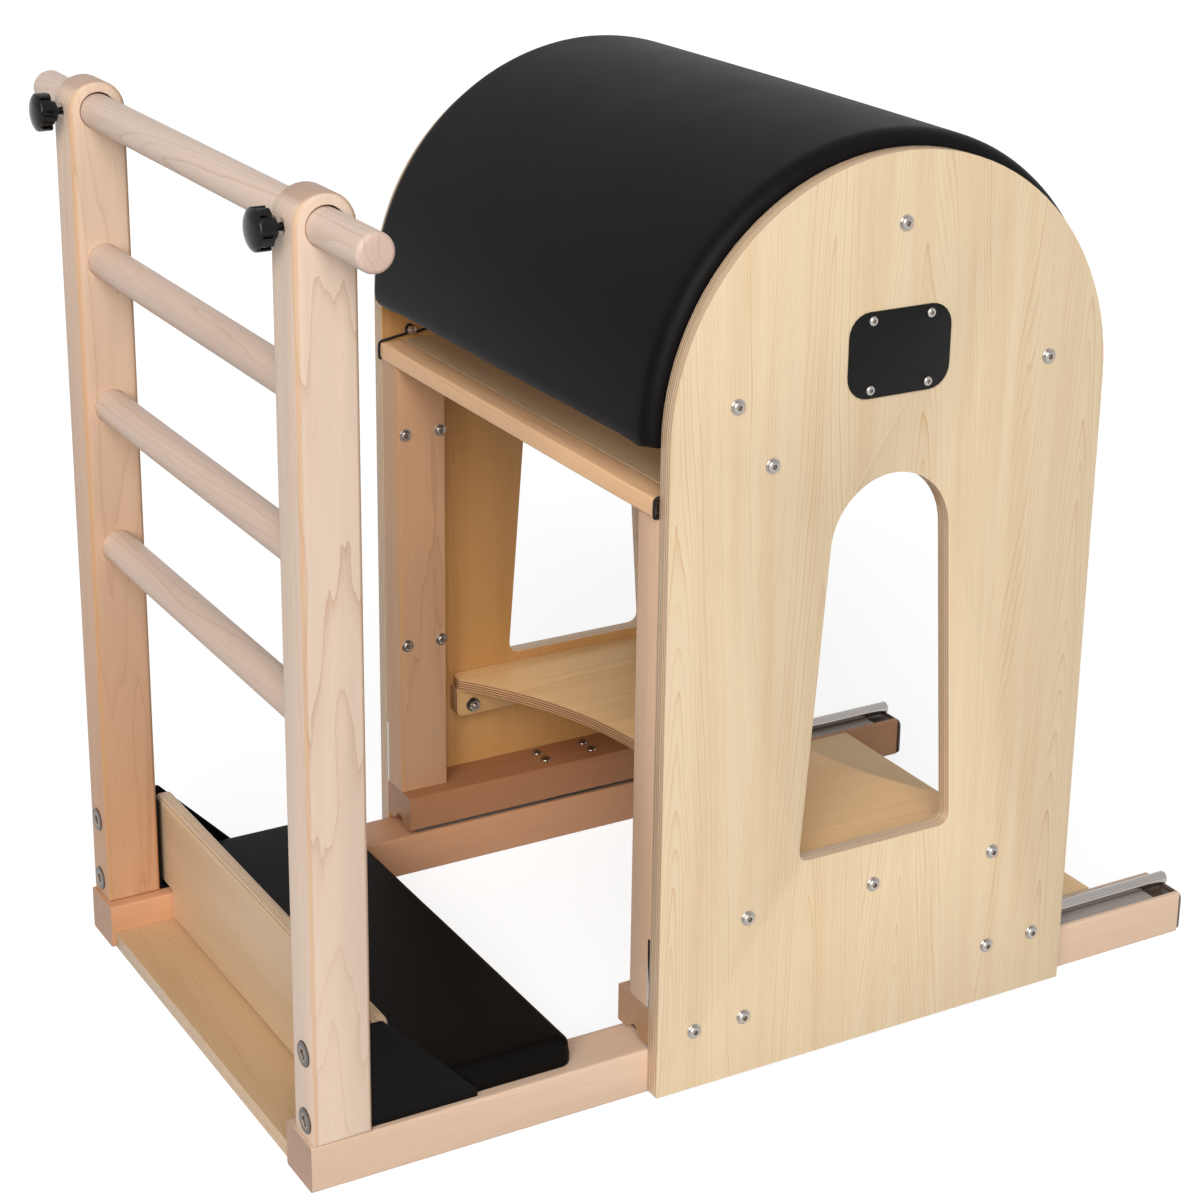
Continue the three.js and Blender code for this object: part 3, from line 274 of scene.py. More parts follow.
def plywood(name, thick, along, between, plies, tones, contrast, ring=4.6, mirrored=False, back=None,
            gloss=0.35):
    """Plywood whose face veneers run along one axis, in leaves with peaked figure.
    Cut edges show light and dark plies between two places (mm) on the thick axis.
    tones are face, figure, light ply and dark ply; back is a darker, more orange face and figure
    for the faces that look inwards, painted shade inside the object."""
    material, add = new_material(name)
    leaf, heart_offset, heart_depth = 150, 25, 4.0
    across = ({"x", "y", "z"} - {thick, along}).pop()
    coordinates = add("TexCoord")
    mm = add("VectorMath", {0: coordinates.outputs["Object"], "Scale": 1 / MM}, operation="SCALE")
    parts = add("SeparateXYZ", {"Vector": mm}).outputs
    wide, length, depth = (parts[axis.upper()] for axis in (across, along, thick))
    grain = add("CombineXYZ", {"X": wide, "Y": length, "Z": depth})

    leaves = add("Math", {0: wide, 1: 1 / leaf, 2: 0.37}, operation="MULTIPLY_ADD")
    chance = add("TexWhiteNoise", {"W": add("Math", {0: leaves}, operation="FLOOR")},
                 noise_dimensions="1D")
    chances = add("SeparateXYZ", {"Vector": chance.outputs["Color"]}).outputs
    shift = add("MapRange", {"Value": chances["X"], "To Min": 0.25, "To Max": 0.75})
    from_peak = add("Math", {0: add("Math", {0: leaves}, operation="FRACT"), 1: shift},
                    operation="SUBTRACT")
    side = add("Math", {0: from_peak, 1: leaf}, operation="MULTIPLY")
    drift = add("Math", {0: variation(add, grain, (60, 900, 60), 1), 1: 50}, operation="MULTIPLY")
    side = add("Math", {0: side, 1: drift}, operation="ADD")
    side = add("Math", {0: side, 1: heart_offset}, operation="SUBTRACT")
    radius = add("VectorMath", {0: add("CombineXYZ", {"X": side, "Y": heart_depth})},
                 operation="LENGTH")
    lean = add("MapRange", {"Value": chances["Y"], "To Min": 0.035, "To Max": 0.075})
    leaning = add("Math", {0: length, 1: lean, 2: radius}, operation="MULTIPLY_ADD")
    bend = add("Math", {0: variation(add, grain, (70, 420, 70)), 1: 22, 2: leaning},
               operation="MULTIPLY_ADD")
    wander = add("Math", {0: variation(add, grain, (9, 130, 9)), 1: 2.4, 2: bend},
                 operation="MULTIPLY_ADD")
    years = add("Math", {0: wander, 1: ring}, operation="DIVIDE")
    year = add("Math", {0: years}, operation="FRACT")
    chance = add("TexWhiteNoise", {"W": add("Math", {0: years}, operation="FLOOR")},
                 noise_dimensions="1D").outputs[0]
    strength = add("MapRange", {"Value": chance, "To Min": 0.1, "To Max": 1.0})
    late = add("Math", {0: year, 1: 5.0}, operation="POWER")
    for share in (strength, contrast):
        late = add("Math", {0: late, 1: share}, operation="MULTIPLY")
    cloud = add("MapRange", {"Value": variation(add, grain, (26, 620, 26), 3), "From Min": 0.32,
                             "From Max": 0.68, "To Min": -0.1, "To Max": 0.2})
    late = add("Math", {0: late, 1: cloud}, operation="ADD", use_clamp=True)

    facing = add("SeparateXYZ", {"Vector": coordinates.outputs["Normal"]}).outputs[thick.upper()]
    veneer = add("Mix", {"Factor": late, "A": linear(tones[0]), "B": linear(tones[1])},
                 data_type="RGBA")
    # Painted shade: faces that look inwards take darker, more orange tones
    if back:
        outwards = add("Math", {0: facing, 1: depth}, operation="MULTIPLY")
        inwards = add("Math", {0: outwards, 1: 0.0}, operation="LESS_THAN")
        painted_shade_inside = add("Mix", {"Factor": late, "A": linear(back[0]), "B": linear(back[1])},
                     data_type="RGBA")
        veneer = add("Mix", {"Factor": inwards, "A": veneer, "B": painted_shade_inside}, data_type="RGBA")
    fibre = add("MapRange", {"Value": variation(add, grain, (0.8, 34, 0.8), 3), "From Min": 0.3,
                             "From Max": 0.7, "To Min": 0.97, "To Max": 1.02})
    leaf_tone = add("MapRange", {"Value": chances["Z"], "To Min": 0.98, "To Max": 1.02})
    face_tone = add("Math", {0: fibre, 1: leaf_tone}, operation="MULTIPLY")
    face = add("VectorMath", {0: veneer, "Scale": face_tone}, operation="SCALE")

    level = add("Math", {0: depth}, operation="ABSOLUTE") if mirrored else depth
    layers = add("MapRange", {"Value": level, "From Min": between[0], "From Max": between[1],
                              "To Max": plies}, clamp=False)
    layer = add("Math", {0: layers}, operation="FLOOR")
    dark = add("Math", {0: layer, 1: 2.0}, operation="MODULO")
    own = add("TexWhiteNoise", {"W": layer}, noise_dimensions="1D").outputs[0]
    ply = add("Mix", {"Factor": dark, "A": linear(tones[2]), "B": linear(tones[3])}, data_type="RGBA")
    middle = add("Math", {0: add("Math", {0: layers}, operation="FRACT"), 1: 0.5},
                 operation="SUBTRACT")
    glue = add("MapRange", {"Value": add("Math", {0: middle}, operation="ABSOLUTE"),
                            "From Min": 0.34, "From Max": 0.5, "To Min": 1.0, "To Max": 0.68})
    cut = {"x": (0.6, 14, 14), "y": (14, 0.6, 14), "z": (14, 14, 0.6)}[thick]
    streak = add("MapRange", {"Value": variation(add, mm, cut, 3), "From Min": 0.3, "From Max": 0.7,
                              "To Min": 0.9, "To Max": 1.07})
    gap = add("MapRange", {"Value": variation(add, mm, [s * 1.4 for s in cut], 1), "From Min": 0.72,
                           "From Max": 0.77, "To Min": 1.0, "To Max": 0.5})
    edge = ply
    for part in (add("MapRange", {"Value": own, "To Min": 0.9, "To Max": 1.06}), glue, streak, gap):
        edge = add("VectorMath", {0: edge, "Scale": part}, operation="SCALE")

    on_face = add("MapRange", {"Value": add("Math", {0: facing}, operation="ABSOLUTE"),
                               "From Min": 0.7, "From Max": 0.85})
    colour = add("Mix", {"Factor": on_face, "A": edge, "B": face}, data_type="RGBA")
    relief = add("Bump", {"Height": fibre, "Strength": 0.1, "Distance": 0.0004})
    surface = add("BsdfPrincipled", {"Base Color": colour, "Roughness": 0.4, "IOR": 1.5,
                                     "Specular IOR Level": gloss, "Normal": relief})
    add("OutputMaterial", {"Surface": surface})
    return material


ply_tones = ("#e6caa8", "#c8a584")
birch = ("#dfc49c", "#c59e6d", *ply_tones)
bottom_birch = plywood("birch_bottom_board", "z", "x", thickness("bottom_board", "z"), 11,
                       ("#cdac85", "#b98d5e", *ply_tones), 0.5)
plank_birch = plywood("birch_rear_plank", "z", "x", thickness("rear_cross_plank", "z"), 13,
                      ("#f8d6a4", "#deb275", *ply_tones), 0.5, gloss=0.14)
kickboard_birch = plywood("birch_kickboard", "y", "x", thickness("kickboard", "y"), 13,
                          ("#d4b593", "#c09a6c", *ply_tones), 0.5)
dress(bottom_birch, 0.5, "bottom_board")
dress(plank_birch, 0.8, "rear_cross_plank")
dress(kickboard_birch, 0.4, "kickboard")


# Gussets
# Bent 3 to 4 mm steel brackets with a matt black powder coat.
# They brace the ladder posts and lap over the front corners of the foot pad.
powder_coat = coated("powder_coat", "#0c0b0b", 0.5, 0.55, 0.2, 0.08)
dress(powder_coat, 0.5, "gusset_right", "gusset_left")


# Foot pad
# Foam on a thin board, wrapped in the same black vinyl as the barrel; its copy here is darker,
# painted shade under the barrel.
# The vinyl is pulled tight over the edges, so the top is crowned and its corners are round.
def leathercloth(name, colour, level):
    """Black upholstery vinyl: fine pressed leather grain (1.1 mm) with a soft, low gloss."""
    material, add = new_material(name)
    mm = add("VectorMath", {0: add("TexCoord").outputs["Object"], "Scale": 1 / MM}, operation="SCALE")
    cells = add("TexVoronoi", {"Vector": mm, "Scale": 0.9}, feature="DISTANCE_TO_EDGE")
    crease = add("MapRange", {"Value": cells, "From Min": 0.0, "From Max": 0.12})
    pores = add("TexNoise", {"Vector": mm, "Scale": 1.6, "Detail": 3.0}).outputs[0]
    height = add("Math", {0: crease, 1: 0.6, 2: pores}, operation="MULTIPLY_ADD")
    patch = add("TexNoise", {"Vector": mm, "Scale": 0.012, "Detail": 3.0}).outputs[0]
    # Painted shade: the grain's creases are a little darker than the cells between them
    tone = add("MapRange", {"Value": add("Math", {0: crease, 1: 0.3, 2: patch},
                                         operation="MULTIPLY_ADD"),
                            "From Min": 0.4, "From Max": 1.0, "To Min": 0.9, "To Max": 1.07})
    shade = add("VectorMath", {0: linear(colour)[:3], "Scale": tone}, operation="SCALE")
    gloss = add("MapRange", {"Value": patch, "From Min": 0.3, "From Max": 0.7, "To Min": 0.45,
                             "To Max": 0.49})
    relief = add("Bump", {"Height": height, "Strength": 0.12, "Distance": 0.0002})
    surface = add("BsdfPrincipled", {"Base Color": shade, "Roughness": gloss, "IOR": 1.5,
                                     "Specular IOR Level": level, "Normal": relief})
    add("OutputMaterial", {"Surface": surface})
    return material


def mesh_object(name, vertices, faces, material, smooth=True):
    """A new piece from vertices in metres."""
    mesh = bpy.data.meshes.new(name)
    mesh.from_pydata(vertices, [], faces)
    mesh.materials.append(material)
    mesh.shade_smooth() if smooth else mesh.shade_flat()
    piece = bpy.data.objects.new(name, mesh)
    bpy.context.scene.collection.objects.link(piece)
    return piece


def skin(rings):
    """The points and faces of a closed skin over equal rings of points, one ring after the next.
    For the two covers' rings the faces look inwards."""
    points, count = [point for ring in rings for point in ring], len(rings[0])
    faces = []
    for k in range(len(rings) - 1):
        for i in range(count):
            a, b = k * count + i, k * count + (i + 1) % count
            faces.append((a, b, b + count, a + count))
    faces.append(tuple(range(count))[::-1])
    faces.append(tuple(range(len(points) - count, len(points))))
    return points, faces


def draw_in(piece, held, pressure, cap):
    """Draws a closed cover in on its foam by simulation. Pressure acts the way the faces look, which
    is inwards here. held vertices stay fixed, and no point moves further than cap metres."""
    start = [v.co.copy() for v in piece.data.vertices]
    group = piece.vertex_groups.new(name="held")
    group.add(held, 1.0, "REPLACE")
    cloth = piece.modifiers.new("Draw in", "CLOTH")
    cloth.settings.use_pressure = True
    cloth.settings.uniform_pressure_force = pressure
    cloth.settings.effector_weights.gravity = 0
    cloth.settings.vertex_group_mass = "held"
    for step in range(1, 21):
        bpy.context.scene.frame_set(step)
    drawn = piece.evaluated_get(bpy.context.evaluated_depsgraph_get())
    moved = [v.co.copy() for v in drawn.data.vertices]
    piece.modifiers.remove(cloth)
    piece.vertex_groups.clear()
    bpy.context.scene.frame_set(1)
    for vertex, rest, place in zip(piece.data.vertices, start, moved):
        move = place - rest
        if move.length > cap:
            move *= cap / move.length
        vertex.co = rest + move


def pad_ring(inset, height, low, high, corner, per_side=14, per_corner=6):
    """A rounded rectangle, inset from the pad's outline, at one height."""
    (x0, y0), (x1, y1) = (low[0] + inset, low[1] + inset), (high[0] - inset, high[1] - inset)
    r = max(corner - inset, 0.0012)
    r = min(r, (y1 - y0) / 2 * 0.98, (x1 - x0) / 2 * 0.98)
    points = []
    centres = ((x1 - r, y1 - r), (x0 + r, y1 - r), (x0 + r, y0 + r), (x1 - r, y0 + r))
    for quarter, (cx, cy) in enumerate(centres):
        for i in range(per_corner + 1):
            angle = (quarter + i / per_corner) * math.pi / 2
            points.append((cx + r * math.cos(angle), cy + r * math.sin(angle), height))
    ring = []
    for i, point in enumerate(points):
        ring.append(point)
        if i % (per_corner + 1) == per_corner:
            after = points[(i + 1) % len(points)]
            is_long = abs(after[0] - point[0]) > abs(after[1] - point[1])
            steps = per_side * (3 if is_long else 1)
            ring += [tuple(a + (b - a) * s / steps for a, b in zip(point, after))
                     for s in range(1, steps)]
    return ring


vinyl = leathercloth("black_vinyl", "#0e0b0c", 0.08)
# A darker, less glossy copy of the barrel's vinyl: painted shade on the foot pad
shaded_pad_vinyl = leathercloth("black_vinyl_painted_shade", "#090706", 0.06)
pad_side, pad_top = 0.0008, 0.0012
pad_low, pad_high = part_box("foot_pad")
board_low, board_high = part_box("pad_board")
pad_low += Vector((pad_side, pad_side, 0))
pad_high -= Vector((pad_side, pad_side, pad_top))
pad_corner, pad_roll, pad_crown = 0.014, 0.013, 0.0022
pad_middle = (pad_high.y - pad_low.y) / 2
profile = [(pad_middle * (1 - t) + pad_roll * t, pad_high.z - pad_crown * t ** 3)
           for t in (0.005, 0.12, 0.25, 0.4, 0.55, 0.7, 0.82, 0.92, 1.0)]
for step in range(1, 9):
    angle = step / 8 * math.pi / 2
    profile.append((pad_roll * (1 - math.sin(angle)),
                    pad_high.z - pad_crown - pad_roll * (1 - math.cos(angle))))
outer_count = len(profile)
under_edge = [(0.0, 12.0), (0.0, 4.0), (0.4, 1.0), (1.4, 0.0)]
profile += [(inset * MM, pad_low.z + rise * MM) for inset, rise in under_edge]
board_clear = 0.0004
board_gap = board_low.x - pad_low.x - board_clear
over_board = board_high.z + board_clear
profile += [(board_gap - 0.6 * MM, pad_low.z), (board_gap, pad_low.z + 0.6 * MM),
            (board_gap, over_board - 0.2 * MM), (board_gap + 2 * MM, over_board),
            (pad_middle * 0.6, over_board), (pad_middle * 0.99, over_board)]
rings = [pad_ring(inset, z, pad_low, pad_high, pad_corner) for inset, z in profile]
points, faces = skin(rings)
foot_pad = mesh_object("foot_pad_cover", points, faces, shaded_pad_vinyl)
draw_in(foot_pad, list(range(outer_count * len(rings[0]), len(points))), 3.0, 0.0018)
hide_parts("foot_pad")
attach(foot_pad, "base")
board_birch = plywood("birch_pad_board", "z", "x", thickness("pad_board", "z"), 7, birch, 0.5)
dress(board_birch, 0.3, "pad_board")


# Ladder
# Two solid maple posts with round heads, three maple rungs and a loose top pole.
# Flat-sawn sides show long peaked ring lines; the fronts are nearly quarter-sawn.
# Two bolts with broad dark washers hold each post.
post_right = timber("maple_post_right", "z", (150, -512), 7.2, 0.035,
                    ("#ead0ba", "#bd8c66", "#c9a791"), 0.75)
# The left post is a slightly darker, warmer copy of the right one and darker still towards its foot:
# painted shade on the far side
post_left = timber("maple_post_left_painted_shade", "z", (-440, -505), 8.0, -0.03,
                   ("#e6c9b0", "#a97c58", "#cbaa94", "#c49673"), 0.8)
rung = timber("maple_rung", "x", (-470, 700), 6.0, 0.02, ("#dabfac", "#b08a70", "#cda58e"), 0.7)
pole = timber("maple_pole", "x", (-480, 1000), 6.0, 0.05, ("#e4cbb9", "#b28a70", "#e2c3b2"), 0.7)
dress(post_right, 0, "ladder_post_right")
dress(post_left, 0, "ladder_post_left")
dress(rung, 0, "rung_1", "rung_2", "rung_3")
dress(pole, 0, "top_pole")


def turned_heads(name, body, material, spots, out, profile):
    """Bolt heads, nuts or washers as one piece: each ring of the profile is (radius mm, height mm,
    hexagon or not), turned round the out axis at every spot (mm). The row on the wood is painted
    dark brown, a painted contact shadow, and the rows that go down again, into a socket, are a darker
    steel, painted shade in the socket."""
    sides = 48
    out = Vector(out).normalized()
    side = out.orthogonal().normalized()
    up = out.cross(side)
    points, faces = [], []
    for spot in spots:
        first = len(points)
        for radius, height, hexed in profile:
            for i in range(sides):
                angle = 2 * math.pi * i / sides
                from_flat = (angle + math.pi / 6) % (math.pi / 3) - math.pi / 6
                r = radius / math.cos(from_flat) if hexed else radius
                around = (side * math.cos(angle) + up * math.sin(angle)) * r
                points.append(tuple((Vector(spot) + out * height + around) * MM))
        for k in range(len(profile) - 1):
            for i in range(sides):
                a, b = first + k * sides + i, first + k * sides + (i + 1) % sides
                faces.append((a, b, b + sides, a + sides))
        faces.append(tuple(range(first, first + sides))[::-1])
        faces.append(tuple(range(len(points) - sides, len(points))))
    piece = mesh_object(name, points, faces, material)
    piece.data.materials.append(shaded_socket_steel)
    piece.data.materials.append(rim_shadow_paint)
    # Painted shade: the first row, on the wood, takes a dark brown contact shadow, and rows going down into
    # a socket take a darker steel
    bright, dull, rim = range(3)
    rows = [rim] + [dull if above[1] < below[1] else bright
                    for below, above in zip(profile[1:], profile[2:])] + [dull]
    per_head = len(faces) // len(spots)
    for face in piece.data.polygons:
        face.material_index = rows[min(face.index % per_head // sides, len(rows) - 1)]
    piece.modifiers.new("Smooth curves", "NODES").node_group = smooth_curves
    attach(piece, body)


# Darker finishes for the sockets and for the row where a head meets the wood: painted shade
shaded_socket_steel = metal("painted_socket_shade", "#85776c", 0.3, 0.6)
rim_shadow_paint = coated("painted_contact_shadow_rims", "#5c4436", 0.4, 0.7, 0.05, 0.2)
dark_zinc = metal("dark_zinc_steel", "#5e5854", 0.3, 1.5)
post_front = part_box("ladder_post_right")[0].y / MM - 0.05
washer_head = [(13.75, 0, False), (13.75, 0.9, False), (13.2, 1.5, False), (8.5, 1.8, False),
               (5.2, 1.6, True), (5.0, 1.3, True), (5.0, 0.2, True), (1.0, 0.1, False)]
for name, sign in (("right", 1), ("left", -1)):
    turned_heads("ladder_bolts_" + name, "base", dark_zinc,
                 [(sign * 295, post_front, z) for z in (148, 72)], (0, -1, 0), washer_head)


# Clamp knobs
# Moulded black plastic, eight lobes on a ribbed hub, with a steel stud.
# Each turns in a plated brass insert in the post's front.
moulded = coated("moulded_plastic", "#070707", 0.17, 0.9, 0.04, 0.28)
plated_brass = metal("plated_brass", "#a48b7b", 0.32, 0.9)
dress(moulded, 0.5, "clamp_knob_right", "clamp_knob_left")
dress(plated_brass, 0.2, "knob_insert_right", "knob_insert_left")


# Side panels
# 19.5 mm birch plywood with a pale, peaked face veneer, cut to an arch with a window.
# Clear satin lacquer; the edges are eased by about a millimetre. Polished button-head bolts
# hold the beams, the cleats, the barrel and its cross rail; four hold the bare black plate.
# The panels' inward faces take darker, more orange tones: painted shade inside the object
panel_birch = plywood("birch_side_panel", "x", "z", thickness("side_panel_right", "x"), 11,
                      ("#ead3b0", "#cfa26a", *ply_tones), 0.75, ring=3.6, mirrored=True,
                      back=("#c19058", "#ab7a3f"))
satin_black = coated("satin_black_plate", "#161515", 0.4, 0.7, 0.05, 0.14)
dress(panel_birch, 0.9, "side_panel_right", "side_panel_left")
dress(satin_black, 0.3, "badge_plate")


def button_head(flange, edge, radius, height, key, depth):
    """The profile of a button head with a flange and a hexagon socket, key mm across flats."""
    rim = [(flange, 0.0, False), (flange, edge * 0.7, False), (flange - 0.3, edge, False)] if flange else []
    start = edge if flange else 0.0
    lip = key / 2 + 0.9
    curve = [(lip + (radius - lip) * math.cos(a * math.pi / 12),
              start + 0.25 + (height - start - 0.25) * math.sin(a * math.pi / 12), False)
             for a in range(7)]
    socket = [(key / 2 + 0.35, height, True), (key / 2, height - 0.3, True),
              (key / 2, height - depth, True), (key / 6, height - depth - 0.5, False)]
    return rim + [(radius, start, False)] + curve + socket


polished = metal("polished_steel", "#b7b2ad", 0.2, 1.5)
panel_low, panel_high = (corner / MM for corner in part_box("side_panel_right"))
cleat_bolts, cleat_height = (108.9, 270.6, 432.9), 190.5
barrel_bolts = [(270.3, 926.5), (76.3, 762), (464.3, 762), (120.0, 694)]
beam_bolts = [(back, 72.6) for back in (45.0, 106.9, 433.3, 497.6)]
panel_bolts = barrel_bolts + [(back, cleat_height) for back in cleat_bolts] + beam_bolts
for name, sign in (("right", 1), ("left", -1)):
    turned_heads("panel_bolts_" + name, "carriage", polished,
                 [(sign * panel_high.x, panel_low.y + back, z) for back, z in panel_bolts],
                 (sign, 0, 0), button_head(8.4, 1.0, 6.8, 4.2, 4.8, 1.8))
badge_low, badge_high = (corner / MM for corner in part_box("badge_plate"))
turned_heads("badge_screws", "carriage", polished,
             [(badge_high.x, badge_low.y + y, badge_low.z + z) for y in (27.5, 99.3) for z in (9.1, 81.7)],
             (1, 0, 0), button_head(0, 0, 5.4, 2.9, 3.3, 1.8))


# Carriage under the barrel
# Maple beams grooved over the rods, plastic bearing blocks, maple barrel posts with steel
# guide plates, and a birch plywood shelf on two cleats, all held by zinc plated fasteners.
beam_right = timber("maple_beam_right", "y", (290, 420), 3.6, 0.004,
                    ("#cdaa8d", "#a67c5a", "#ac8360"), 0.35)
# The left beam is a darker, warmer copy of the right one: painted shade on the far side
beam_left = timber("maple_beam_left_painted_shade", "y", (-290, -300), 3.6, 0.004,
                   ("#aa7550", "#835534", "#a07454"), 0.4)
barrel_post_right = timber("maple_barrel_post_right", "z", (190, -130), 6.5, 0.02,
                           ("#dcb698", "#b58661", "#b99475"), 0.45)
# The left barrel post is a darker, warmer copy of the right one: painted shade on the far side
barrel_post_left = timber("maple_barrel_post_left_painted_shade", "z", (-190, -130), 6.5, 0.02,
                          ("#c99d78", "#a1724b", "#ab8262"), 0.45)
shelf_plies = ("#d6ac7f", "#99694a")
shelf_birch = plywood("birch_shelf", "z", "y", thickness("shelf", "z"), 9,
                      ("#f2c78e", "#cd9c5f", *shelf_plies), 0.6, gloss=0.12)
cleat_birch = plywood("birch_cleat", "x", "y", thickness("shelf_cleat_right", "x"), 11,
                      ("#c79e6b", "#ac7d47", *shelf_plies), 0.5, mirrored=True)
dress(beam_right, 0, "carriage_beam_right")
dress(beam_left, 0, "carriage_beam_left")
dress(barrel_post_right, 0.6, "barrel_post_right")
dress(barrel_post_left, 0.6, "barrel_post_left")
dress(moulded, 0.4, "front_bearing_right", "front_bearing_left", "rear_bearing_right",
      "rear_bearing_left")
dress(ground_steel, 0.2, "latch_guide_plate_right", "latch_guide_plate_left")
dress(shelf_birch, 0.6, "shelf")
dress(cleat_birch, 0.8, "shelf_cleat_right", "shelf_cleat_left")

zinc = metal("zinc_plated_steel", "#9b918a", 0.24, 1.5)
washer_thick = 1.5
washer = [(9.0, 0.0, False), (9.0, washer_thick - 0.3, False), (8.7, washer_thick, False),
          (4.2, washer_thick, False)]
nut = [(6.4, 0.0, True), (6.4, 0.2, True), (6.5, 0.5, True), (6.5, 5.0, True), (6.1, 5.5, False),
       (4.4, 5.5, False), (4.0, 5.5, False), (4.0, 8.0, False), (3.4, 8.6, False)]
post_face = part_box("barrel_post_right")[0].x / MM
cleat_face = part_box("shelf_cleat_right")[0].x / MM
beam_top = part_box("carriage_beam_right")[1].z / MM
for name, sign in (("right", 1), ("left", -1)):
    inwards = (-sign, 0, 0)
    posts = [(sign * post_face, panel_low.y + back, z) for z in (565.6, 296.5) for back in (9.3, 55.3)]
    cleats = [(sign * cleat_face, panel_low.y + back, cleat_height) for back in cleat_bolts]
    beams = [(sign * x, panel_low.y + back, beam_top) for x in (277, 299.6) for back in (202.6, 269.3)]
    turned_heads("post_bolts_" + name, "carriage", zinc, posts, inwards,
                 button_head(7.6, 0.9, 6.0, 3.8, 4.6, 2.4))
    turned_heads("cleat_washers_" + name, "carriage", dark_zinc, cleats, inwards,
                 washer)
    turned_heads("cleat_nuts_" + name, "carriage", zinc,
                 [(x - sign * washer_thick, y, z) for x, y, z in cleats], inwards, nut)
    turned_heads("beam_screws_" + name, "carriage", zinc, beams, (0, 0, 1),
                 button_head(0, 0, 7.0, 3.0, 4.0, 1.8))


# Barrel
# Bent plywood skin on three plywood ribs, covered with foam and black vinyl.
# The vinyl is drawn over the ends and rolls in where it meets the panels.
skin_birch = plywood("birch_skin", "z", "x", (700, 1000), 60, birch, 0.4)
rib_birch = plywood("birch_rib", "x", "z", thickness("end_rib_right", "x"), 11, birch, 0.5,
                    mirrored=True)
middle_birch = plywood("birch_middle_rib", "x", "z", thickness("middle_rib", "x"), 11, birch, 0.5)
cross_maple = timber("maple_cross_rail", "x", (-40, 400), 5.0, 0.01,
                     ("#dcb698", "#b58661", "#b99475"), 0.4)
dress(skin_birch, 0, "barrel_skin")
dress(rib_birch, 0.5, "end_rib_right", "end_rib_left")
dress(middle_birch, 0.5, "middle_rib")
dress(cross_maple, 0.8, "cross_rail")

cushion_low, cushion_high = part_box("barrel_cushion")
axis_y = (cushion_low.y + cushion_high.y) / 2
# How far the cover hangs below the barrel's axis, and its inner and outer radius
drop = 0.0064
axis_z = cushion_low.z + drop
half = cushion_high.x - 0.0006
edge = half - 0.001
inner, outer = 0.2553, 0.2882
roll_in, roll_along, crown = 0.016, 0.020, 0.0012
section = [(edge, inner), (half - 0.0002, inner + 0.001), (half, inner + 0.006),
           (half, outer - roll_in - 0.006)]
for step in range(11):
    angle = step * math.pi / 20
    section.append((half - roll_along * (1 - math.cos(angle)), outer - roll_in * (1 - math.sin(angle))))
flat = half - roll_along
section += [(flat * (1 - k / 20), outer + crown * (1 - (1 - k / 20) ** 2)) for k in range(1, 21)]
section += [(-x, r) for x, r in section[-2::-1]]
roof = len(section)
section += [(-edge * (1 - k / 20) + edge * (k / 20), inner) for k in range(1, 20)]
turns, tuck = 112, 0.010
below = [drop - 0.0004, drop * 0.8, drop * 0.55, drop * 0.25]
stations = [(0.0, depth) for depth in below]
stations += [(math.pi * k / turns, 0.0) for k in range(turns + 1)]
stations += [(math.pi, depth) for depth in reversed(below)]
rings = []
for angle, depth in stations:
    to_end = min(angle, math.pi - angle) * outer + below[0] - depth
    lift = 0.0 if to_end >= tuck else tuck - math.sqrt(tuck ** 2 - (tuck - to_end) ** 2)
    ring = []
    for x, r in section:
        r -= lift * max((r - inner) / (outer - inner), 0.0)
        x *= 1 - 0.012 * lift / tuck
        ring.append((x, axis_y - r * math.cos(angle), axis_z - depth + r * math.sin(angle)))
    rings.append(ring)
points, faces = skin(rings)
cushion = mesh_object("barrel_cushion_cover", points, faces, vinyl)
count = len(section)
held = [k * count + i for k in range(len(rings)) for i in range(count)
        if i >= roof or i < 2 or i >= roof - 2 or k in (0, len(rings) - 1)]
draw_in(cushion, held, 4.0, 0.0015)
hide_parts("barrel_cushion")
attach(cushion, "carriage")


# Release gear
# A maple bar on two steel guide pins, pulled away from a fixed plank. Braided cords run from
# studs with nuts on the panels round the bar's ends and down to the lock pins.
# The end grain tone is near black: painted shade on the bar's ends beside the panels
bar_maple = timber("maple_release_bar", "x", (-150, 700), 5.5, 0.01,
                   ("#faca9a", "#bc8a60", "#1c1613"), 0.6)
fixed_birch = plywood("birch_fixed_plank", "z", "x", thickness("fixed_plank", "z"), 13, birch, 0.5)
bright_steel = metal("bright_steel", "#d3cbc5", 0.3, 0.9)
dress(bar_maple, 0, "release_bar")
dress(fixed_birch, 0, "fixed_plank")
dress(ground_steel, 0.2, "bar_guide_pin_right", "bar_guide_pin_left", "latch_pin_right",
      "latch_pin_left")
dress(bright_steel, 0.3, "cord_anchor_right", "cord_anchor_left")


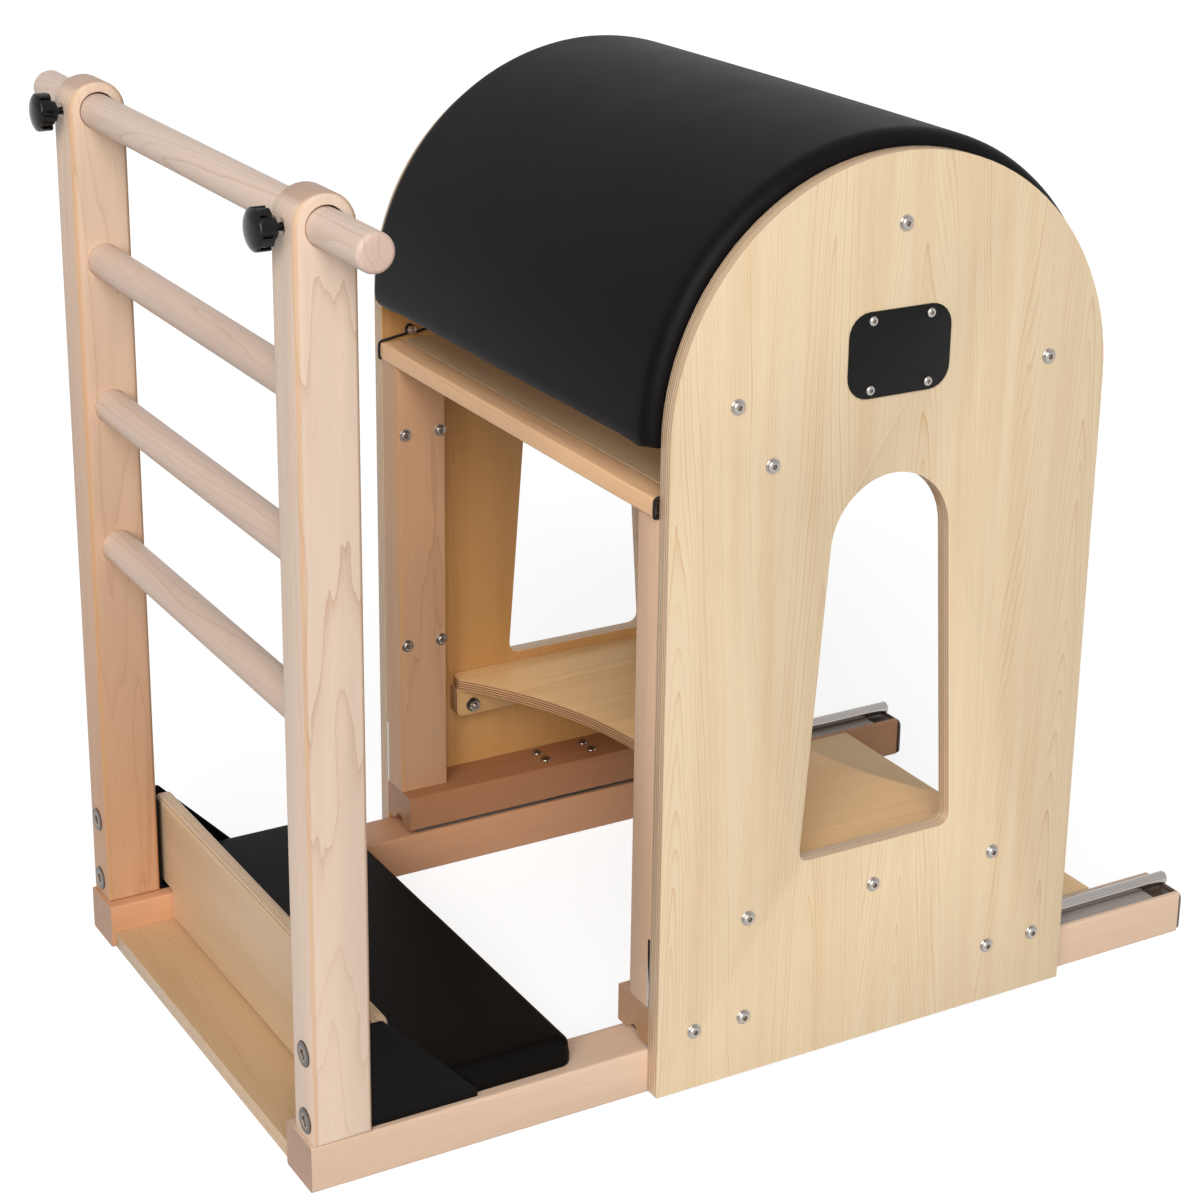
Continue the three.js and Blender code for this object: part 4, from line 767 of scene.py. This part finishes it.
def braid(name, colour, pitch):
    """Braided cord: two sets of slanting strands, pitch mm apart, with matt fibres."""
    material, add = new_material(name)
    strands = add("VectorMath", {0: add("TexCoord").outputs["Object"], "Scale": 1 / (MM * pitch)},
                  operation="SCALE")
    one = add("TexWave", {"Vector": strands, "Scale": 1.0}, bands_direction="DIAGONAL")
    turned = add("Mapping", {"Vector": strands, "Rotation": (0.0, math.pi / 2, math.pi / 2)})
    two = add("TexWave", {"Vector": turned, "Scale": 1.0}, bands_direction="DIAGONAL")
    weave = add("Math", {0: one.outputs["Fac"], 1: two.outputs["Fac"]}, operation="MULTIPLY")
    # Painted shade and highlight: darker where the strands dip, lighter on their crests
    tone = add("MapRange", {"Value": weave, "To Min": 0.6, "To Max": 1.5})
    shade = add("VectorMath", {0: linear(colour)[:3], "Scale": tone}, operation="SCALE")
    relief = add("Bump", {"Height": weave, "Strength": 0.5, "Distance": 0.0004})
    surface = add("BsdfPrincipled", {"Base Color": shade, "Roughness": 0.7, "IOR": 1.5,
                                     "Specular IOR Level": 0.3, "Normal": relief})
    add("OutputMaterial", {"Surface": surface})
    return material


black_braid = braid("black_braid", "#1d1d1f", 1.4)
for name in ("right", "left"):
    # A held cord: its solid is copied into one braided mesh with doubled points merged, and stays where it
    # is drawn
    solid = "release_cord_" + name
    cord = mesh_object("braided_cord_" + name, [], [], black_braid)
    shape = bmesh.new()
    shape.from_mesh(nodes[solid].data)
    bmesh.ops.remove_doubles(shape, verts=shape.verts, dist=0.02 * MM)
    shape.to_mesh(cord.data)
    shape.free()
    cord.data.shade_smooth()
    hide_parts(solid)
    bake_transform(cord)


# Studio
# A pale floor under a white sky, a soft key light from the badge side and a weak low fill from
# behind. The camera stands where the photograph was taken.
def looked_at(add):
    """1 for what the camera sees, by itself or in gloss or glass, and 0 for light on the object."""
    rays = add("LightPath").outputs
    seen = add("Math", {0: rays["Is Camera Ray"], 1: rays["Is Glossy Ray"]}, operation="MAXIMUM")
    return add("Math", {0: seen, 1: rays["Is Transmission Ray"]}, operation="MAXIMUM")


pale_floor, add = new_material("studio_floor")
white = add("Math", {0: looked_at(add), 1: 0.8}, operation="MULTIPLY")
glow = add("Emission", {"Color": (1, 1, 1, 1), "Strength": white})
paint = add("BsdfDiffuse", {"Color": (0.36, 0.36, 0.36, 1)})
add("OutputMaterial", {"Surface": add("AddShader", {0: glow, 1: paint})})
reach = 30
floor = mesh_object("studio_floor", [(-reach, -reach, 0), (reach, -reach, 0), (reach, reach, 0),
                                     (-reach, reach, 0)], [(0, 1, 2, 3)], pale_floor, smooth=False)

world = bpy.data.worlds.new("studio_sky")
world.use_nodes = True
add = node_adder(world.node_tree)
strength = add("MapRange", {"Value": looked_at(add), "To Min": 0.26, "To Max": 1.0})
add("OutputWorld", {"Surface": add("Background", {"Strength": strength})})
bpy.context.scene.world = world


def sun(name, towards, strength, spread, glossy):
    """A distant lamp that shines from a direction, spread degrees wide, with or without highlights."""
    lamp = bpy.data.lights.new(name, "SUN")
    lamp.energy = strength
    lamp.angle = math.radians(spread)
    holder = bpy.data.objects.new(name, lamp)
    holder.rotation_euler = Vector(towards).to_track_quat("Z", "Y").to_euler()
    holder.visible_glossy = glossy
    bpy.context.scene.collection.objects.link(holder)


sun("key", (0.72, -0.51, 0.46), 3.1, 45, True)
sun("fill", (-0.75, 0.62, 0.08), 1.3, 60, False)

turn, tilt, roll = math.radians(59.815), math.radians(18.913), math.radians(0.789)
ahead = -Vector((math.sin(turn) * math.cos(tilt), -math.cos(turn) * math.cos(tilt), math.sin(tilt)))
level_right = ahead.cross(Vector((0, 0, 1))).normalized()
level_up = level_right.cross(ahead)
right = level_right * math.cos(roll) + level_up * math.sin(roll)
up = level_up * math.cos(roll) - level_right * math.sin(roll)
lens = bpy.data.cameras.new("camera")
lens.lens = 80.12
lens.sensor_width = 36
lens.shift_x = -0.0002
lens.shift_y = -0.1053
lens.clip_end = 100
camera = bpy.data.objects.new("camera", lens)
camera.matrix_world = Matrix((right, up, -ahead)).transposed().to_4x4()
camera.location = (2.4343, -1.46265, 1.5494)
bpy.context.scene.collection.objects.link(camera)
bpy.context.scene.camera = camera
bpy.context.scene.view_settings.view_transform = "Standard"
